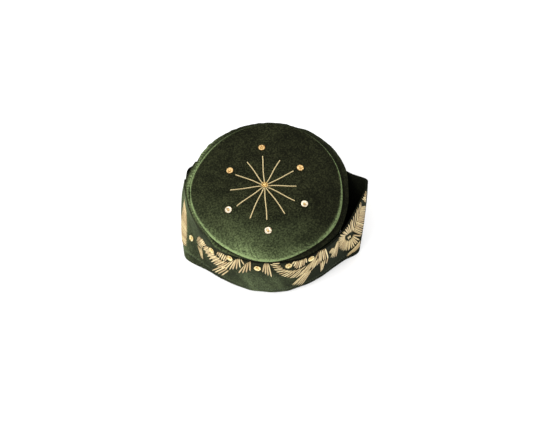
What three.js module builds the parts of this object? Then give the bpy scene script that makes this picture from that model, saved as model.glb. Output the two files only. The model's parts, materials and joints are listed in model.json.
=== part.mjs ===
// Fila cap: a soft round cap of velvet inside a stiff cuff that is turned up round it.
// Millimetres, +Z up, +Y towards the back. It stands on its open edge, and the origin lies
// on that resting plane, below the middle of the whole cap.

import * as THREE from "three";

// Driving sizes
const headRadius = 88; // plain radius that the crown, its rim and the cuff all follow
const rimHeight = 92; // height of the crown's rim at its centre
const rimTilt = 8.5; // degrees that the crown slopes down to the front
const domeRise = 11; // how far the middle of the tip stands above its rim
const tipWall = 2; // cloth of the round tip
const sideWall = 2; // cloth of the crown's side
const cuffWall = 2.2; // folded cloth of the cuff
const rollSize = 11; // height of the soft roll under the rim, and the measure of its bulge
const seamTuck = 1.5; // how far the side starts inside the tip's edge
const seamAllowance = 6; // turned-in edge of the side that the tip rests on
const earReach = 29; // how far the larger ear stands out at its foot

// Clearances
const seamGap = 0.3; // between cloth and what is sewn or laid on it
const wornGap = 0.5; // between the crown's side and the cuff round it
const lipClearance = 1.2; // the crown's roll above the cuff's upper edge

// Trim
const sequinRadius = 4;
const sequinHole = 0.8;
const sequinThickness = 0.5;
const sequinCup = 0.9; // how far a sequin's edge stands above its middle
const sequinNod = 12; // degrees that the cuff's sequins face upwards
const beadRadius = 2.6;
const starRadius = 51; // ring of the tip's sequins round the star bead
const starOffset = new THREE.Vector2(-0.06, 0); // from the crown's centre, in head radii

// Mesh fineness
const sideSteps = 72;
const cuffSteps = 108;
const sequinSides = 12;

// The crown and cuff, one row every 30 degrees round from the right side towards the back.
// cuffFoot, cuffLip and rim are radii in head radii. rimLift, lipDrop and rollReach are in roll
// sizes: the rim above its tilted plane, the cuff's lip below the rim, the roll beyond the rim.
const girth = [
  { azimuth: 0, cuffFoot: 1.0, cuffLip: 1.075, rim: 0.963, rimLift: 0.0, lipDrop: -0.25, rollReach: 0.8 },
  { azimuth: 30, cuffFoot: 1.005, cuffLip: 1.06, rim: 1.0, rimLift: 0.15, lipDrop: 1.1, rollReach: 1.2 },
  { azimuth: 60, cuffFoot: 1.01, cuffLip: 1.045, rim: 1.02, rimLift: 0.45, lipDrop: 1.9, rollReach: 1.15 },
  { azimuth: 90, cuffFoot: 1.01, cuffLip: 1.04, rim: 1.02, rimLift: 0.6, lipDrop: 2.1, rollReach: 0.95 },
  { azimuth: 120, cuffFoot: 1.01, cuffLip: 1.045, rim: 1.018, rimLift: 0.45, lipDrop: 1.9, rollReach: 1.1 },
  { azimuth: 150, cuffFoot: 1.0, cuffLip: 1.05, rim: 1.03, rimLift: 0.15, lipDrop: 1.0, rollReach: 1.0 },
  { azimuth: 180, cuffFoot: 0.99, cuffLip: 1.06, rim: 1.052, rimLift: 0.0, lipDrop: -0.15, rollReach: 0.6 },
  { azimuth: 210, cuffFoot: 0.985, cuffLip: 1.01, rim: 0.992, rimLift: 0.0, lipDrop: 0.6, rollReach: 0.82 },
  { azimuth: 240, cuffFoot: 0.93, cuffLip: 0.955, rim: 0.96, rimLift: 0.0, lipDrop: 0.8, rollReach: 0.3 },
  { azimuth: 270, cuffFoot: 0.925, cuffLip: 0.95, rim: 0.97, rimLift: 0.0, lipDrop: 0.45, rollReach: 0.0 },
  { azimuth: 300, cuffFoot: 0.945, cuffLip: 0.985, rim: 0.937, rimLift: 0.0, lipDrop: 0.55, rollReach: 0.55 },
  { azimuth: 330, cuffFoot: 1.0, cuffLip: 1.05, rim: 0.966, rimLift: 0.0, lipDrop: 0.3, rollReach: 0.7 },
];

// The cuff's two folded ears, each from its foot to its lip. Azimuth is in degrees, and so are
// before and after: how far the fold runs out on the side of smaller and of greater azimuths.
// Reach is in ear reaches.
const ears = [
  {
    name: "right",
    foot: { azimuth: -12, reach: 1.0, before: 9.5, after: 10.5 },
    lip: { azimuth: 8, reach: 0.714, before: 17, after: 6.5 },
  },
  {
    name: "left",
    foot: { azimuth: 197, reach: 0.83, before: 11, after: 11 },
    lip: { azimuth: 160, reach: 0.42, before: 8, after: 14 },
  },
];

// The cuff is one strip. Its outer end shows at the left ear and its inner end lies under it.
const strip = {
  outerEnd: { foot: -182, lip: -190 },
  innerEnd: { foot: 192.7, lip: 174.7 },
  tuckStart: 18, // degrees before and after the lap over which the step inwards comes and goes
  foldSpan: 100, // degrees to each side of the right ear over which the sections lean with its fold
};

// Sequins round the cuff: azimuth in degrees, height as a share of the cuff there.
// The first six are in front, the rest finish the hidden back.
const cuffSequins = [
  { azimuth: -164, height: 0.41 },
  { azimuth: -138, height: 0.8 },
  { azimuth: -121, height: 0.93 },
  { azimuth: -99, height: 0.85 },
  { azimuth: -76, height: 0.92 },
  { azimuth: -59, height: 0.94 },
  { azimuth: 40, height: 0.8 },
  { azimuth: 62, height: 0.8 },
  { azimuth: 84, height: 0.8 },
  { azimuth: 106, height: 0.8 },
  { azimuth: 128, height: 0.8 },
];

// The six sequins of the star: azimuth in degrees and distance in star radii.
const tipSequins = [
  { azimuth: -26, distance: 0.97 },
  { azimuth: 31, distance: 0.94 },
  { azimuth: 94, distance: 1.04 },
  { azimuth: 152, distance: 0.9 },
  { azimuth: 215, distance: 0.97 },
  { azimuth: 274, distance: 1.05 },
];

const velvet = new THREE.MeshStandardMaterial({ color: 0x2c3a22, roughness: 0.95, metalness: 0 });
const cuffVelvet = new THREE.MeshStandardMaterial({ color: 0x34452a, roughness: 0.92, metalness: 0 });
const gold = new THREE.MeshStandardMaterial({ color: 0xc9ab5c, roughness: 0.4, metalness: 0.8 });
const sequinGold = new THREE.MeshStandardMaterial({ color: 0xead9a4, roughness: 0.25, metalness: 0.6 });

const radians = THREE.MathUtils.degToRad;
const mix = THREE.MathUtils.lerp;
const smooth = (t) => THREE.MathUtils.smoothstep(t, 0, 1);

// A column of the girth table at any azimuth, on a smooth curve through its rows.
function girthAt(column, azimuth) {
  const rowAngle = 360 / girth.length;
  const place = THREE.MathUtils.euclideanModulo(azimuth, 360) / rowAngle;
  const row = Math.floor(place);
  const t = place - row;
  const value = (step) => girth[(row + step + girth.length) % girth.length][column];
  const [a, b, c, d] = [value(-1), value(0), value(1), value(2)];
  const bend = (2 * a - 5 * b + 4 * c - d) * t * t + (3 * b - a - 3 * c + d) * t * t * t;
  return 0.5 * (2 * b + (c - a) * t + bend);
}

// The crown's rim

function rimRadius(azimuth) {
  return headRadius * girthAt("rim", azimuth);
}

// Height of the tilted plane that the rim follows, lifted at the back as the share q nears the rim.
function rimPlane(azimuth, q) {
  const slope = Math.tan(radians(rimTilt)) * Math.sin(radians(azimuth));
  const lift = rollSize * girthAt("rimLift", azimuth) * q ** 4;
  return rimHeight + slope * rimRadius(azimuth) * q + lift;
}

function tipHeight(azimuth, q) {
  return rimPlane(azimuth, q) + domeRise * (1 - q ** 2.4);
}

// The cuff

function lipHeight(azimuth) {
  return rimPlane(azimuth, 1) - rollSize * girthAt("lipDrop", azimuth);
}

// Radius of the cuff's outer face without its ears, at a share of its height.
function cuffBody(azimuth, share) {
  const foot = girthAt("cuffFoot", azimuth);
  const lip = girthAt("cuffLip", azimuth);
  return headRadius * mix(foot, lip, Math.min(share, 1));
}

// What one ear adds: a fold whose two flanks run out into the cuff, each by its own spread.
function earBulge(ear, azimuth, share) {
  const at = (size) => mix(ear.foot[size], ear.lip[size], Math.min(share, 1));
  const turn = THREE.MathUtils.euclideanModulo(azimuth - at("azimuth") + 180, 360) - 180;
  const flank = turn / at(turn > 0 ? "after" : "before");
  return (earReach * at("reach")) / (1 + flank * flank);
}

function cuffRadius(azimuth, share) {
  return ears.reduce((radius, ear) => radius + earBulge(ear, azimuth, share), cuffBody(azimuth, share));
}

function around(azimuth, radius, height) {
  const turn = radians(azimuth);
  return new THREE.Vector3(radius * Math.cos(turn), radius * Math.sin(turn), height);
}

// Point on the cuff's outer face, moved inwards by depth at right angles to its outline.
function cuffPoint(azimuth, share, depth) {
  const height = lipHeight(azimuth) * share;
  const before = around(azimuth - 0.5, cuffRadius(azimuth - 0.5, share), height);
  const after = around(azimuth + 0.5, cuffRadius(azimuth + 0.5, share), height);
  const along = after.sub(before).normalize();
  const outwards = new THREE.Vector3(along.y, -along.x, 0);
  return around(azimuth, cuffRadius(azimuth, share), height).addScaledVector(outwards, -depth);
}

// How far the strip's inner layer steps inwards under its outer end, at a share of its height.
function lapTuck(azimuth, share) {
  const start = mix(strip.outerEnd.foot, strip.outerEnd.lip, Math.min(share, 1)) + 360;
  const end = mix(strip.innerEnd.foot, strip.innerEnd.lip, Math.min(share, 1));
  const before = smooth((azimuth - start + strip.tuckStart) / strip.tuckStart);
  const after = smooth((end - azimuth + strip.tuckStart) / strip.tuckStart);
  return (cuffWall + seamGap) * Math.min(before, after);
}

// The crown's side

function seamRadius(azimuth) {
  return rimRadius(azimuth) - seamTuck;
}

// Height just under the tip, at a radius.
function underTip(azimuth, radius) {
  return tipHeight(azimuth, radius / rimRadius(azimuth)) - tipWall - seamGap;
}

function sideTop(azimuth) {
  return Math.min(underTip(azimuth, rimRadius(azimuth)), underTip(azimuth, seamRadius(azimuth)));
}

// Radius of the side where it runs down inside the cuff.
function sideInside(azimuth, height) {
  return cuffBody(azimuth, height / lipHeight(azimuth)) - cuffWall - wornGap;
}

// Radius of the side's outer face at a height: rounded out from the seam to the roll's widest
// place, then back to the wall inside the cuff, which it enters just above the cuff's lip.
function sideRadius(azimuth, height) {
  const top = sideTop(azimuth);
  const aboveLip = lipHeight(azimuth) + lipClearance;
  const low = Math.min(aboveLip, top - 0.1 * rollSize);
  const widest = top - Math.min(0.45 * rollSize, 0.5 * (top - low));
  const seam = seamRadius(azimuth);
  const full = seam + rollSize * girthAt("rollReach", azimuth);
  const inner = sideInside(azimuth, low);
  let radius = sideInside(azimuth, height);
  if (height >= widest) {
    const t = 1 - (top - height) / (top - widest);
    radius = mix(seam, full, Math.sqrt(Math.max(0, 1 - t * t)));
  } else if (height >= low) {
    radius = mix(full, inner, smooth((widest - height) / (widest - low)));
  }
  const share = height / lipHeight(azimuth);
  const room = cuffRadius(azimuth, share) - lapTuck(azimuth, share) - cuffWall - wornGap;
  return height < aboveLip ? Math.min(radius, room) : radius;
}

// Bodies are made of rings of points. Each ring is a closed loop with as many points as the next.

// Index triangles between rings that follow one another, in a loop or from first to last.
function ringFaces(ringCount, ringSize, closed) {
  const faces = [];
  for (let ring = 0; ring < (closed ? ringCount : ringCount - 1); ring++) {
    for (let step = 0; step < ringSize; step++) {
      const a = ring * ringSize + step;
      const b = ring * ringSize + ((step + 1) % ringSize);
      const c = ((ring + 1) % ringCount) * ringSize + step;
      const d = ((ring + 1) % ringCount) * ringSize + ((step + 1) % ringSize);
      faces.push(a, c, b, b, c, d);
    }
  }
  return faces;
}

function geometryFrom(points, faces) {
  const geometry = new THREE.BufferGeometry();
  geometry.setFromPoints(points);
  geometry.setIndex(faces);
  geometry.computeVertexNormals();
  return geometry;
}

const piece = (name, geometry, material) => {
  const mesh = new THREE.Mesh(geometry, material);
  mesh.name = name;
  return mesh;
};

// The round tip: rings from the middle out over the top, and back to the middle underneath.
function crownTip() {
  const over = [0.2, 0.4, 0.6, 0.75, 0.87, 0.95, 1];
  const under = [1, 0.92, 0.75, 0.5, 0.25];
  const rings = [...over.map((q) => ({ q, depth: 0 })), ...under.map((q) => ({ q, depth: tipWall }))];
  const points = rings.flatMap(({ q, depth }) =>
    Array.from({ length: sideSteps }, (_, step) => {
      const azimuth = (360 * step) / sideSteps;
      return around(azimuth, rimRadius(azimuth) * q, tipHeight(azimuth, q) - depth);
    }),
  );
  const faces = ringFaces(rings.length, sideSteps, false);
  const topCentre = points.length;
  points.push(around(0, 0, tipHeight(0, 0)), around(0, 0, tipHeight(0, 0) - tipWall));
  const lastRing = (rings.length - 1) * sideSteps;
  for (let step = 0; step < sideSteps; step++) {
    const next = (step + 1) % sideSteps;
    faces.push(topCentre, step, next);
    faces.push(topCentre + 1, lastRing + next, lastRing + step);
  }
  return piece("crown_tip", geometryFrom(points, faces), velvet);
}

// One section of the crown's side: up its outer face, round the turned-in seam allowance at the
// top and down its inner face.
function sideSection(azimuth) {
  const top = sideTop(azimuth);
  const lip = Math.min(lipHeight(azimuth) + lipClearance, top - 0.1 * rollSize);
  const rollStations = [0.04, 0.14, 0.3, 0.5, 0.75, 1];
  const wallStations = [0.96, 0.8, 0.55, 0.25, 0];
  const outer = [
    ...rollStations.map((t) => mix(top, lip, t)),
    ...wallStations.map((t) => lip * t),
  ].map((height) => ({ radius: sideRadius(azimuth, height), height }));
  const inside = ({ radius, height }) => ({ radius: radius - sideWall, height });
  const innerTop = top - sideWall;
  const inner = outer.filter(({ height }) => height < lip).map(inside);
  const underRoll = { radius: sideRadius(azimuth, lip) - sideWall, height: Math.min(lip, innerTop) - 0.4 };
  const inRoll = [0.3, 0.7].map((t) => {
    const height = mix(innerTop, underRoll.height, t);
    return { radius: sideRadius(azimuth, height) - 1.5 * sideWall, height };
  });
  const seam = seamRadius(azimuth);
  const rest = { radius: seam, height: top };
  const edge = { radius: seam - seamAllowance, height: underTip(azimuth, seam - seamAllowance) };
  const edgeUnder = { radius: edge.radius, height: edge.height - sideWall };
  return [...outer.reverse(), rest, edge, edgeUnder, ...inRoll, underRoll, ...inner];
}

function crownSide() {
  const sections = Array.from({ length: sideSteps }, (_, step) => {
    const azimuth = (360 * step) / sideSteps;
    return sideSection(azimuth).map(({ radius, height }) => around(azimuth, radius, height));
  });
  const faces = ringFaces(sections.length, sections[0].length, true);
  return piece("crown_side", geometryFrom(sections.flat(), faces), velvet);
}

// Azimuth on the strip at a share of its length and of its height. The sections lean with the
// right ear's fold near that ear, and with the strip's cut ends at its ends.
function stripAzimuth(along, share) {
  const foot = mix(strip.outerEnd.foot, strip.innerEnd.foot, along);
  const cut = mix(strip.outerEnd.lip, strip.innerEnd.lip, along) - foot;
  const fold = ears[0].lip.azimuth - ears[0].foot.azimuth;
  const near = smooth(1 - Math.abs(foot - ears[0].foot.azimuth) / strip.foldSpan);
  return foot + share * mix(cut, fold, near);
}

// The cuff: one strip of sections from its outer end to its inner end, which lies under the lap.
function cuff() {
  const stations = [0, 0.15, 0.32, 0.5, 0.68, 0.84, 1];
  const sections = Array.from({ length: cuffSteps + 1 }, (_, step) => {
    const along = step / cuffSteps;
    const face = (share, depth) => {
      const azimuth = stripAzimuth(along, share);
      return cuffPoint(azimuth, share, depth + lapTuck(azimuth, share));
    };
    const outer = stations.map((share) => face(share, 0));
    const inner = stations.map((share) => face(share, cuffWall)).reverse();
    return [...outer, ...inner];
  });
  const size = sections[0].length;
  const faces = ringFaces(sections.length, size, false);
  const last = (sections.length - 1) * size;
  for (let row = 0; row < stations.length - 1; row++) {
    const [a, b, c, d] = [row, row + 1, size - 1 - row, size - 2 - row];
    faces.push(a, b, c, b, d, c);
    faces.push(last + a, last + c, last + b, last + b, last + c, last + d);
  }
  return piece("cuff", geometryFrom(sections.flat(), faces), cuffVelvet);
}

// Trim

// A shallow cup with a hole in its middle, lying on z = 0 and facing up.
function sequinGeometry() {
  const profile = [
    new THREE.Vector2(sequinHole, 0),
    new THREE.Vector2(sequinRadius, sequinCup),
    new THREE.Vector2(sequinRadius, sequinCup + sequinThickness),
    new THREE.Vector2(sequinHole, sequinThickness),
    new THREE.Vector2(sequinHole, 0),
  ];
  return new THREE.LatheGeometry(profile, sequinSides).rotateX(Math.PI / 2);
}

// Place and facing of a point that lies where a surface function says.
function seatOn(surface, u, v, step) {
  const point = surface(u, v);
  const alongU = surface(u + step.u, v).sub(point);
  const alongV = surface(u, v + step.v).sub(point);
  return { point, normal: alongU.cross(alongV).normalize() };
}

function tipSurface(x, y) {
  const azimuth = THREE.MathUtils.radToDeg(Math.atan2(y, x));
  const q = Math.hypot(x, y) / rimRadius(azimuth);
  return new THREE.Vector3(x, y, tipHeight(azimuth, q));
}

function lay(mesh, seat, clearance) {
  mesh.position.copy(seat.point).addScaledVector(seat.normal, clearance);
  mesh.quaternion.setFromUnitVectors(new THREE.Vector3(0, 0, 1), seat.normal);
  return mesh;
}

function starTrim() {
  const centre = starOffset.clone().multiplyScalar(headRadius);
  const onTip = (x, y) => seatOn(tipSurface, x, y, { u: 1, v: 1 });
  const bead = piece("star_bead", new THREE.SphereGeometry(beadRadius, 12, 8), gold);
  const laid = [lay(bead, onTip(centre.x, centre.y), beadRadius + seamGap)];
  tipSequins.forEach(({ azimuth, distance }, index) => {
    const out = around(azimuth, starRadius * distance, 0);
    const sequin = piece(`tip_sequin_${index + 1}`, sequinGeometry(), sequinGold);
    laid.push(lay(sequin, onTip(centre.x + out.x, centre.y + out.y), seamGap));
  });
  return laid;
}

function cuffTrim() {
  const outerFace = (azimuth, share) => cuffPoint(azimuth, share, 0);
  return cuffSequins.map(({ azimuth, height }, index) => {
    const seat = seatOn(outerFace, azimuth, height, { u: 1, v: 0.02 });
    const sideways = new THREE.Vector3(-seat.normal.y, seat.normal.x, 0).normalize();
    seat.normal.applyAxisAngle(sideways, -radians(sequinNod));
    const liftedEdge = sequinHole * Math.sin(radians(sequinNod));
    const sequin = piece(`cuff_sequin_${index + 1}`, sequinGeometry(), sequinGold);
    return lay(sequin, seat, seamGap + liftedEdge);
  });
}

const cap = new THREE.Group();
cap.add(crownTip(), crownSide(), cuff(), ...starTrim(), ...cuffTrim());

// The origin goes below the middle of the whole cap.
const middle = new THREE.Box3().setFromObject(cap).getCenter(new THREE.Vector3());
cap.position.set(-middle.x, -middle.y, 0);

const part = new THREE.Group();
part.add(cap);

export default part;
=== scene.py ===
"""The fila cap's looks: a soft round velvet cap inside a stiff turned-up cuff, sewn with gold.

Metres, +Z up, +Y towards the back. Azimuths are in degrees round the crown's centre, from the
right side (+X) towards the back. The shape formulas are the same as in the part's own source, and
every cloth piece stands for its plain solid with a finer surface, worked out on a grid.
"""

from __future__ import annotations

import json
import logging
from dataclasses import dataclass, field, fields, replace
from enum import Enum

import bpy
import numpy as np
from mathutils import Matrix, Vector

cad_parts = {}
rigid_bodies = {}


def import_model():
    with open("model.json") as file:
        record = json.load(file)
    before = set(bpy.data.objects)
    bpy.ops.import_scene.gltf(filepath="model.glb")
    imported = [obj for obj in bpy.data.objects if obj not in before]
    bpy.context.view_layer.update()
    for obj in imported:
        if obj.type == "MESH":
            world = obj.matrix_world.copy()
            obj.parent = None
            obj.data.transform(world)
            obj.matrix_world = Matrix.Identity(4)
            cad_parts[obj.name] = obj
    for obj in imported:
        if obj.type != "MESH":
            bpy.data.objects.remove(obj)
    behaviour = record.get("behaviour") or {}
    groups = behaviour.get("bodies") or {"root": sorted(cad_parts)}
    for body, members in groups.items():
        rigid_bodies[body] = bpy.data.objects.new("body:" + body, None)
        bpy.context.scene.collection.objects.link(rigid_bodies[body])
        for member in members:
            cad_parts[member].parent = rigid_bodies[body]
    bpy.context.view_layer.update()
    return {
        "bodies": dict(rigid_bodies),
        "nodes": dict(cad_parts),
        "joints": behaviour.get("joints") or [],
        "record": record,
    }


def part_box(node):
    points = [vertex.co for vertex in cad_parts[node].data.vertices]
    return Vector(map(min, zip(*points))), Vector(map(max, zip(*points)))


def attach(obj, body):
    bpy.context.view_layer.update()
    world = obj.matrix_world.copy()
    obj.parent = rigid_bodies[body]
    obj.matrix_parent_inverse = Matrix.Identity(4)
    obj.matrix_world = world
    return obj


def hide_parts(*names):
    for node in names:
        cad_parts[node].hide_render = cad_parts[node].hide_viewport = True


Array = np.ndarray
Place = tuple[float, float]
Colour = tuple[float, float, float]

MM = 0.001
LOG = logging.getLogger("fila_cap")


# Numbers and points


def smooth(t: Array | float) -> Array:
    """Smoothstep: 3 t squared less 2 t cubed, with t held between 0 and 1."""
    held = np.clip(t, 0.0, 1.0)
    return held * held * (3.0 - 2.0 * held)


def mix(start: Array | float, end: Array | float, share: Array | float) -> Array:
    """The straight blend from start to end."""
    return start + (end - start) * share


def bell(x: Array, middle: float, width: Array | float) -> Array:
    """exp(-((x - middle) / width)^2): 1 at the middle, next to nothing two widths away."""
    return np.exp(-(((x - middle) / width) ** 2))


def unit(vectors: Array) -> Array:
    """The vectors at length one."""
    return vectors / np.maximum(np.linalg.norm(vectors, axis=-1, keepdims=True), 1e-12)


def even_azimuths(count: int) -> Array:
    """Azimuths at even steps round the crown, in degrees, the first at 0."""
    return np.arange(count) * 360.0 / count


def even_turns(count: int) -> Array:
    """Angles at even steps round a circle, in radians, the first at 0."""
    return np.arange(count) * 2 * np.pi / count


def around(azimuth: Array, radius: Array, height: Array) -> Array:
    """Points about the upright axis: (r cos a, r sin a, h).

    Args:
        azimuth: Degrees.
        radius: Distance from the upright axis.
        height: Height, in the radius's unit.

    Returns:
        Points, whose last axis is x, y, z.
    """
    turn = np.radians(azimuth)
    parts = np.broadcast_arrays(radius * np.cos(turn), radius * np.sin(turn), height)
    return np.stack(parts, axis=-1)


def blended(a: Array, b: Array, c: Array, d: Array, t: Array) -> Array:
    """Half of 2b + (c - a)t + (2a - 5b + 4c - d)t^2 + (3b - a - 3c + d)t^3, from b to c."""
    bend = (2 * a - 5 * b + 4 * c - d) * t**2 + (3 * b - a - 3 * c + d) * t**3
    return 0.5 * (2 * b + (c - a) * t + bend)


def open_curve(stops: Array, share: Array) -> Array:
    """A smooth curve through stops, one row each, at shares of the way from first to last.

    Args:
        stops: One row for each stop, with a number for each column of the surface.
        share: Shares from 0 to 1, one for each row of the surface.

    Returns:
        Rows by columns.
    """
    padded = np.concatenate([stops[:1], stops, stops[-1:]])
    place = share * (len(stops) - 1)
    row = np.minimum(np.floor(place).astype(int), len(stops) - 2)
    return blended(*(padded[row + step] for step in range(4)), (place - row)[:, None])


def loop_curve(values: Array, azimuth: Array) -> Array:
    """A smooth closed curve through values given at even steps round the circle.

    Args:
        values: One number for each row, the first at azimuth 0.
        azimuth: Degrees, any shape.

    Returns:
        The curve's value at each azimuth.
    """
    place = np.mod(azimuth, 360.0) * len(values) / 360.0
    row = np.floor(place).astype(int)
    return blended(*(values[(row + step) % len(values)] for step in (-1, 0, 1, 2)), place - row)


def ripple(azimuth: Array, waves: tuple[int, ...], seed: int) -> Array:
    """A closed uneven wave: a sum of cosines with seeded phases, over the root of their number.

    Args:
        azimuth: Degrees, any shape.
        waves: How many waves each cosine makes round the circle.
        seed: Seed of the phases.

    Returns:
        Values from about -1 to 1.
    """
    phases = np.random.default_rng(seed).uniform(0, 2 * np.pi, len(waves))
    turn = np.radians(azimuth)
    total = sum(np.cos(count * turn + phase) for count, phase in zip(waves, phases))
    return total / np.sqrt(len(waves))


# The cap's shape


@dataclass(frozen=True)
class GirthRow:
    """One section of the cap. Radii in head radii, lifts and reaches in roll sizes."""

    azimuth: float
    cuff_foot: float
    cuff_lip: float
    rim: float
    rim_lift: float
    lip_drop: float
    roll_reach: float


@dataclass(frozen=True)
class EarSection:
    """An ear at one height.

    Its azimuth is in degrees and its reach in ear reaches. Before and after are the degrees over
    which it runs out, on the side of smaller and of greater azimuths.
    """

    azimuth: float
    reach: float
    before: float
    after: float


@dataclass(frozen=True)
class Ear:
    """A folded ear of the cuff, from its foot to its lip."""

    foot: EarSection
    lip: EarSection


@dataclass(frozen=True)
class CapShape:
    """The surfaces that every piece of the cap lies on, in metres."""

    head_radius: float = 88 * MM
    rim_height: float = 92 * MM
    rim_tilt_deg: float = 8.5
    dome_rise: float = 11 * MM
    tip_wall: float = 2 * MM
    side_wall: float = 2 * MM
    cuff_wall: float = 2.2 * MM
    roll_size: float = 11 * MM
    seam_tuck: float = 1.5 * MM
    seam_allowance: float = 6 * MM
    ear_reach: float = 29 * MM
    seam_gap: float = 0.3 * MM
    worn_gap: float = 0.5 * MM
    lip_clearance: float = 1.2 * MM
    outer_end: Place = (-182.0, -190.0)
    inner_end: Place = (192.7, 174.7)
    tuck_start_deg: float = 18.0
    fold_span_deg: float = 100.0
    centre: Place = (0.0, 0.0)
    girth_rows: tuple[GirthRow, ...] = (
        GirthRow(0, 1.0, 1.075, 0.963, 0.0, -0.25, 0.8),
        GirthRow(30, 1.005, 1.06, 1.0, 0.15, 1.1, 1.2),
        GirthRow(60, 1.01, 1.045, 1.02, 0.45, 1.9, 1.15),
        GirthRow(90, 1.01, 1.04, 1.02, 0.6, 2.1, 0.95),
        GirthRow(120, 1.01, 1.045, 1.018, 0.45, 1.9, 1.1),
        GirthRow(150, 1.0, 1.05, 1.03, 0.15, 1.0, 1.0),
        GirthRow(180, 0.99, 1.06, 1.052, 0.0, -0.15, 0.6),
        GirthRow(210, 0.985, 1.01, 0.992, 0.0, 0.6, 0.82),
        GirthRow(240, 0.93, 0.955, 0.96, 0.0, 0.8, 0.3),
        GirthRow(270, 0.925, 0.95, 0.97, 0.0, 0.45, 0.0),
        GirthRow(300, 0.945, 0.985, 0.937, 0.0, 0.55, 0.55),
        GirthRow(330, 1.0, 1.05, 0.966, 0.0, 0.3, 0.7),
    )
    ears: tuple[Ear, ...] = (
        Ear(EarSection(-12, 1.0, 9.5, 10.5), EarSection(8, 0.714, 17, 6.5)),
        Ear(EarSection(197, 0.83, 11, 11), EarSection(160, 0.42, 8, 14)),
    )

    def seated_on_frame(self, tip_steps: int = 72) -> CapShape:
        """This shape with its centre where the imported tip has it.

        The tip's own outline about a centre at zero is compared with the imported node's lowest corner.

        Args:
            tip_steps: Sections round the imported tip.

        Returns:
            The shape with its centre set.
        """
        azimuth = even_azimuths(tip_steps)
        outline = around(azimuth, self.rim_radius(azimuth), 0.0)
        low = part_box("crown_tip")[0]
        return replace(self, centre=(low.x - outline[:, 0].min(), low.y - outline[:, 1].min()))

    def placed(self, points: Array) -> Array:
        """Points about the crown's centre, moved to the frame's origin."""
        return points + np.array([*self.centre, 0.0])

    def girth(self, column: str, azimuth: Array) -> Array:
        """A column of the girth table at any azimuth, on its smooth closed curve."""
        return loop_curve(np.array([getattr(row, column) for row in self.girth_rows]), azimuth)

    def rim_radius(self, azimuth: Array) -> Array:
        """Radius of the crown's rim."""
        return self.head_radius * self.girth("rim", azimuth)

    def rim_plane(self, azimuth: Array, q: Array | float) -> Array:
        """Height of the rim's tilted plane, lifted by q^4 towards the rim at the back.

        Args:
            azimuth: Degrees.
            q: Share of the rim's radius.

        Returns:
            Metres.
        """
        slope = np.tan(np.radians(self.rim_tilt_deg)) * np.sin(np.radians(azimuth))
        lift = self.roll_size * self.girth("rim_lift", azimuth) * q**4
        return self.rim_height + slope * self.rim_radius(azimuth) * q + lift

    def tip_height(self, azimuth: Array, q: Array | float) -> Array:
        """Height of the tip at share q of the rim's radius: the plane and a dome of 1 - q^2.4."""
        return self.rim_plane(azimuth, q) + self.dome_rise * (1 - q**2.4)

    def lip_height(self, azimuth: Array) -> Array:
        """Height of the cuff's upper edge."""
        return self.rim_plane(azimuth, 1.0) - self.roll_size * self.girth("lip_drop", azimuth)

    def cuff_body(self, azimuth: Array, share: Array | float) -> Array:
        """Radius of the cuff's outer face without its ears.

        Args:
            azimuth: Degrees.
            share: Share of the cuff's height.

        Returns:
            Metres.
        """
        foot = self.girth("cuff_foot", azimuth)
        lip = self.girth("cuff_lip", azimuth)
        return self.head_radius * mix(foot, lip, np.minimum(share, 1.0))

    def cuff_radius(self, azimuth: Array, share: Array | float) -> Array:
        """Radius of the cuff's outer face: its body and for each ear reach / (1 + flank^2).

        Args:
            azimuth: Degrees.
            share: Share of the cuff's height.

        Returns:
            The radius, in metres.
        """
        radius = self.cuff_body(azimuth, share)
        held = np.minimum(share, 1.0)
        for ear in self.ears:
            foot = {item.name: getattr(ear.foot, item.name) for item in fields(EarSection)}
            at = {name: mix(size, getattr(ear.lip, name), held) for name, size in foot.items()}
            turn = np.mod(azimuth - at["azimuth"] + 180.0, 360.0) - 180.0
            flank = turn / np.where(turn > 0, at["after"], at["before"])
            radius = radius + self.ear_reach * at["reach"] / (1 + flank**2)
        return radius

    def cuff_point(self, azimuth: Array, share: Array, depth: Array | float = 0.0) -> Array:
        """Points on the cuff's outer face, moved inwards by depth at right angles to its outline.

        Args:
            azimuth: Degrees.
            share: Share of the cuff's height there.
            depth: Metres inwards.

        Returns:
            Points in the frame, one for each azimuth.
        """
        azimuth, share, depth = np.broadcast_arrays(azimuth, share, depth)
        height = self.lip_height(azimuth) * share
        before = around(azimuth - 0.5, self.cuff_radius(azimuth - 0.5, share), height)
        after = around(azimuth + 0.5, self.cuff_radius(azimuth + 0.5, share), height)
        along = unit(after - before)
        outwards = np.stack([along[..., 1], -along[..., 0], np.zeros_like(height)], axis=-1)
        face = around(azimuth, self.cuff_radius(azimuth, share), height)
        return self.placed(face - outwards * depth[..., None])

    def seam_radius(self, azimuth: Array) -> Array:
        """Radius where the crown's side starts under the tip's edge."""
        return self.rim_radius(azimuth) - self.seam_tuck

    def under_tip(self, azimuth: Array, radius: Array) -> Array:
        """Height just under the tip at a radius."""
        return self.tip_height(azimuth, radius / self.rim_radius(azimuth)) - self.tip_wall - self.seam_gap

    def side_top(self, azimuth: Array) -> Array:
        """Height of the top of the crown's side."""
        at_rim = self.under_tip(azimuth, self.rim_radius(azimuth))
        return np.minimum(at_rim, self.under_tip(azimuth, self.seam_radius(azimuth)))

    def side_inside(self, azimuth: Array, height: Array) -> Array:
        """Radius of the crown's side where it runs down inside the cuff."""
        body = self.cuff_body(azimuth, height / self.lip_height(azimuth))
        return body - self.cuff_wall - self.worn_gap

    def side_low(self, azimuth: Array) -> Array:
        """Height where the roll has come back in to the wall inside the cuff."""
        above_lip = self.lip_height(azimuth) + self.lip_clearance
        return np.minimum(above_lip, self.side_top(azimuth) - 0.1 * self.roll_size)

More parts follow.
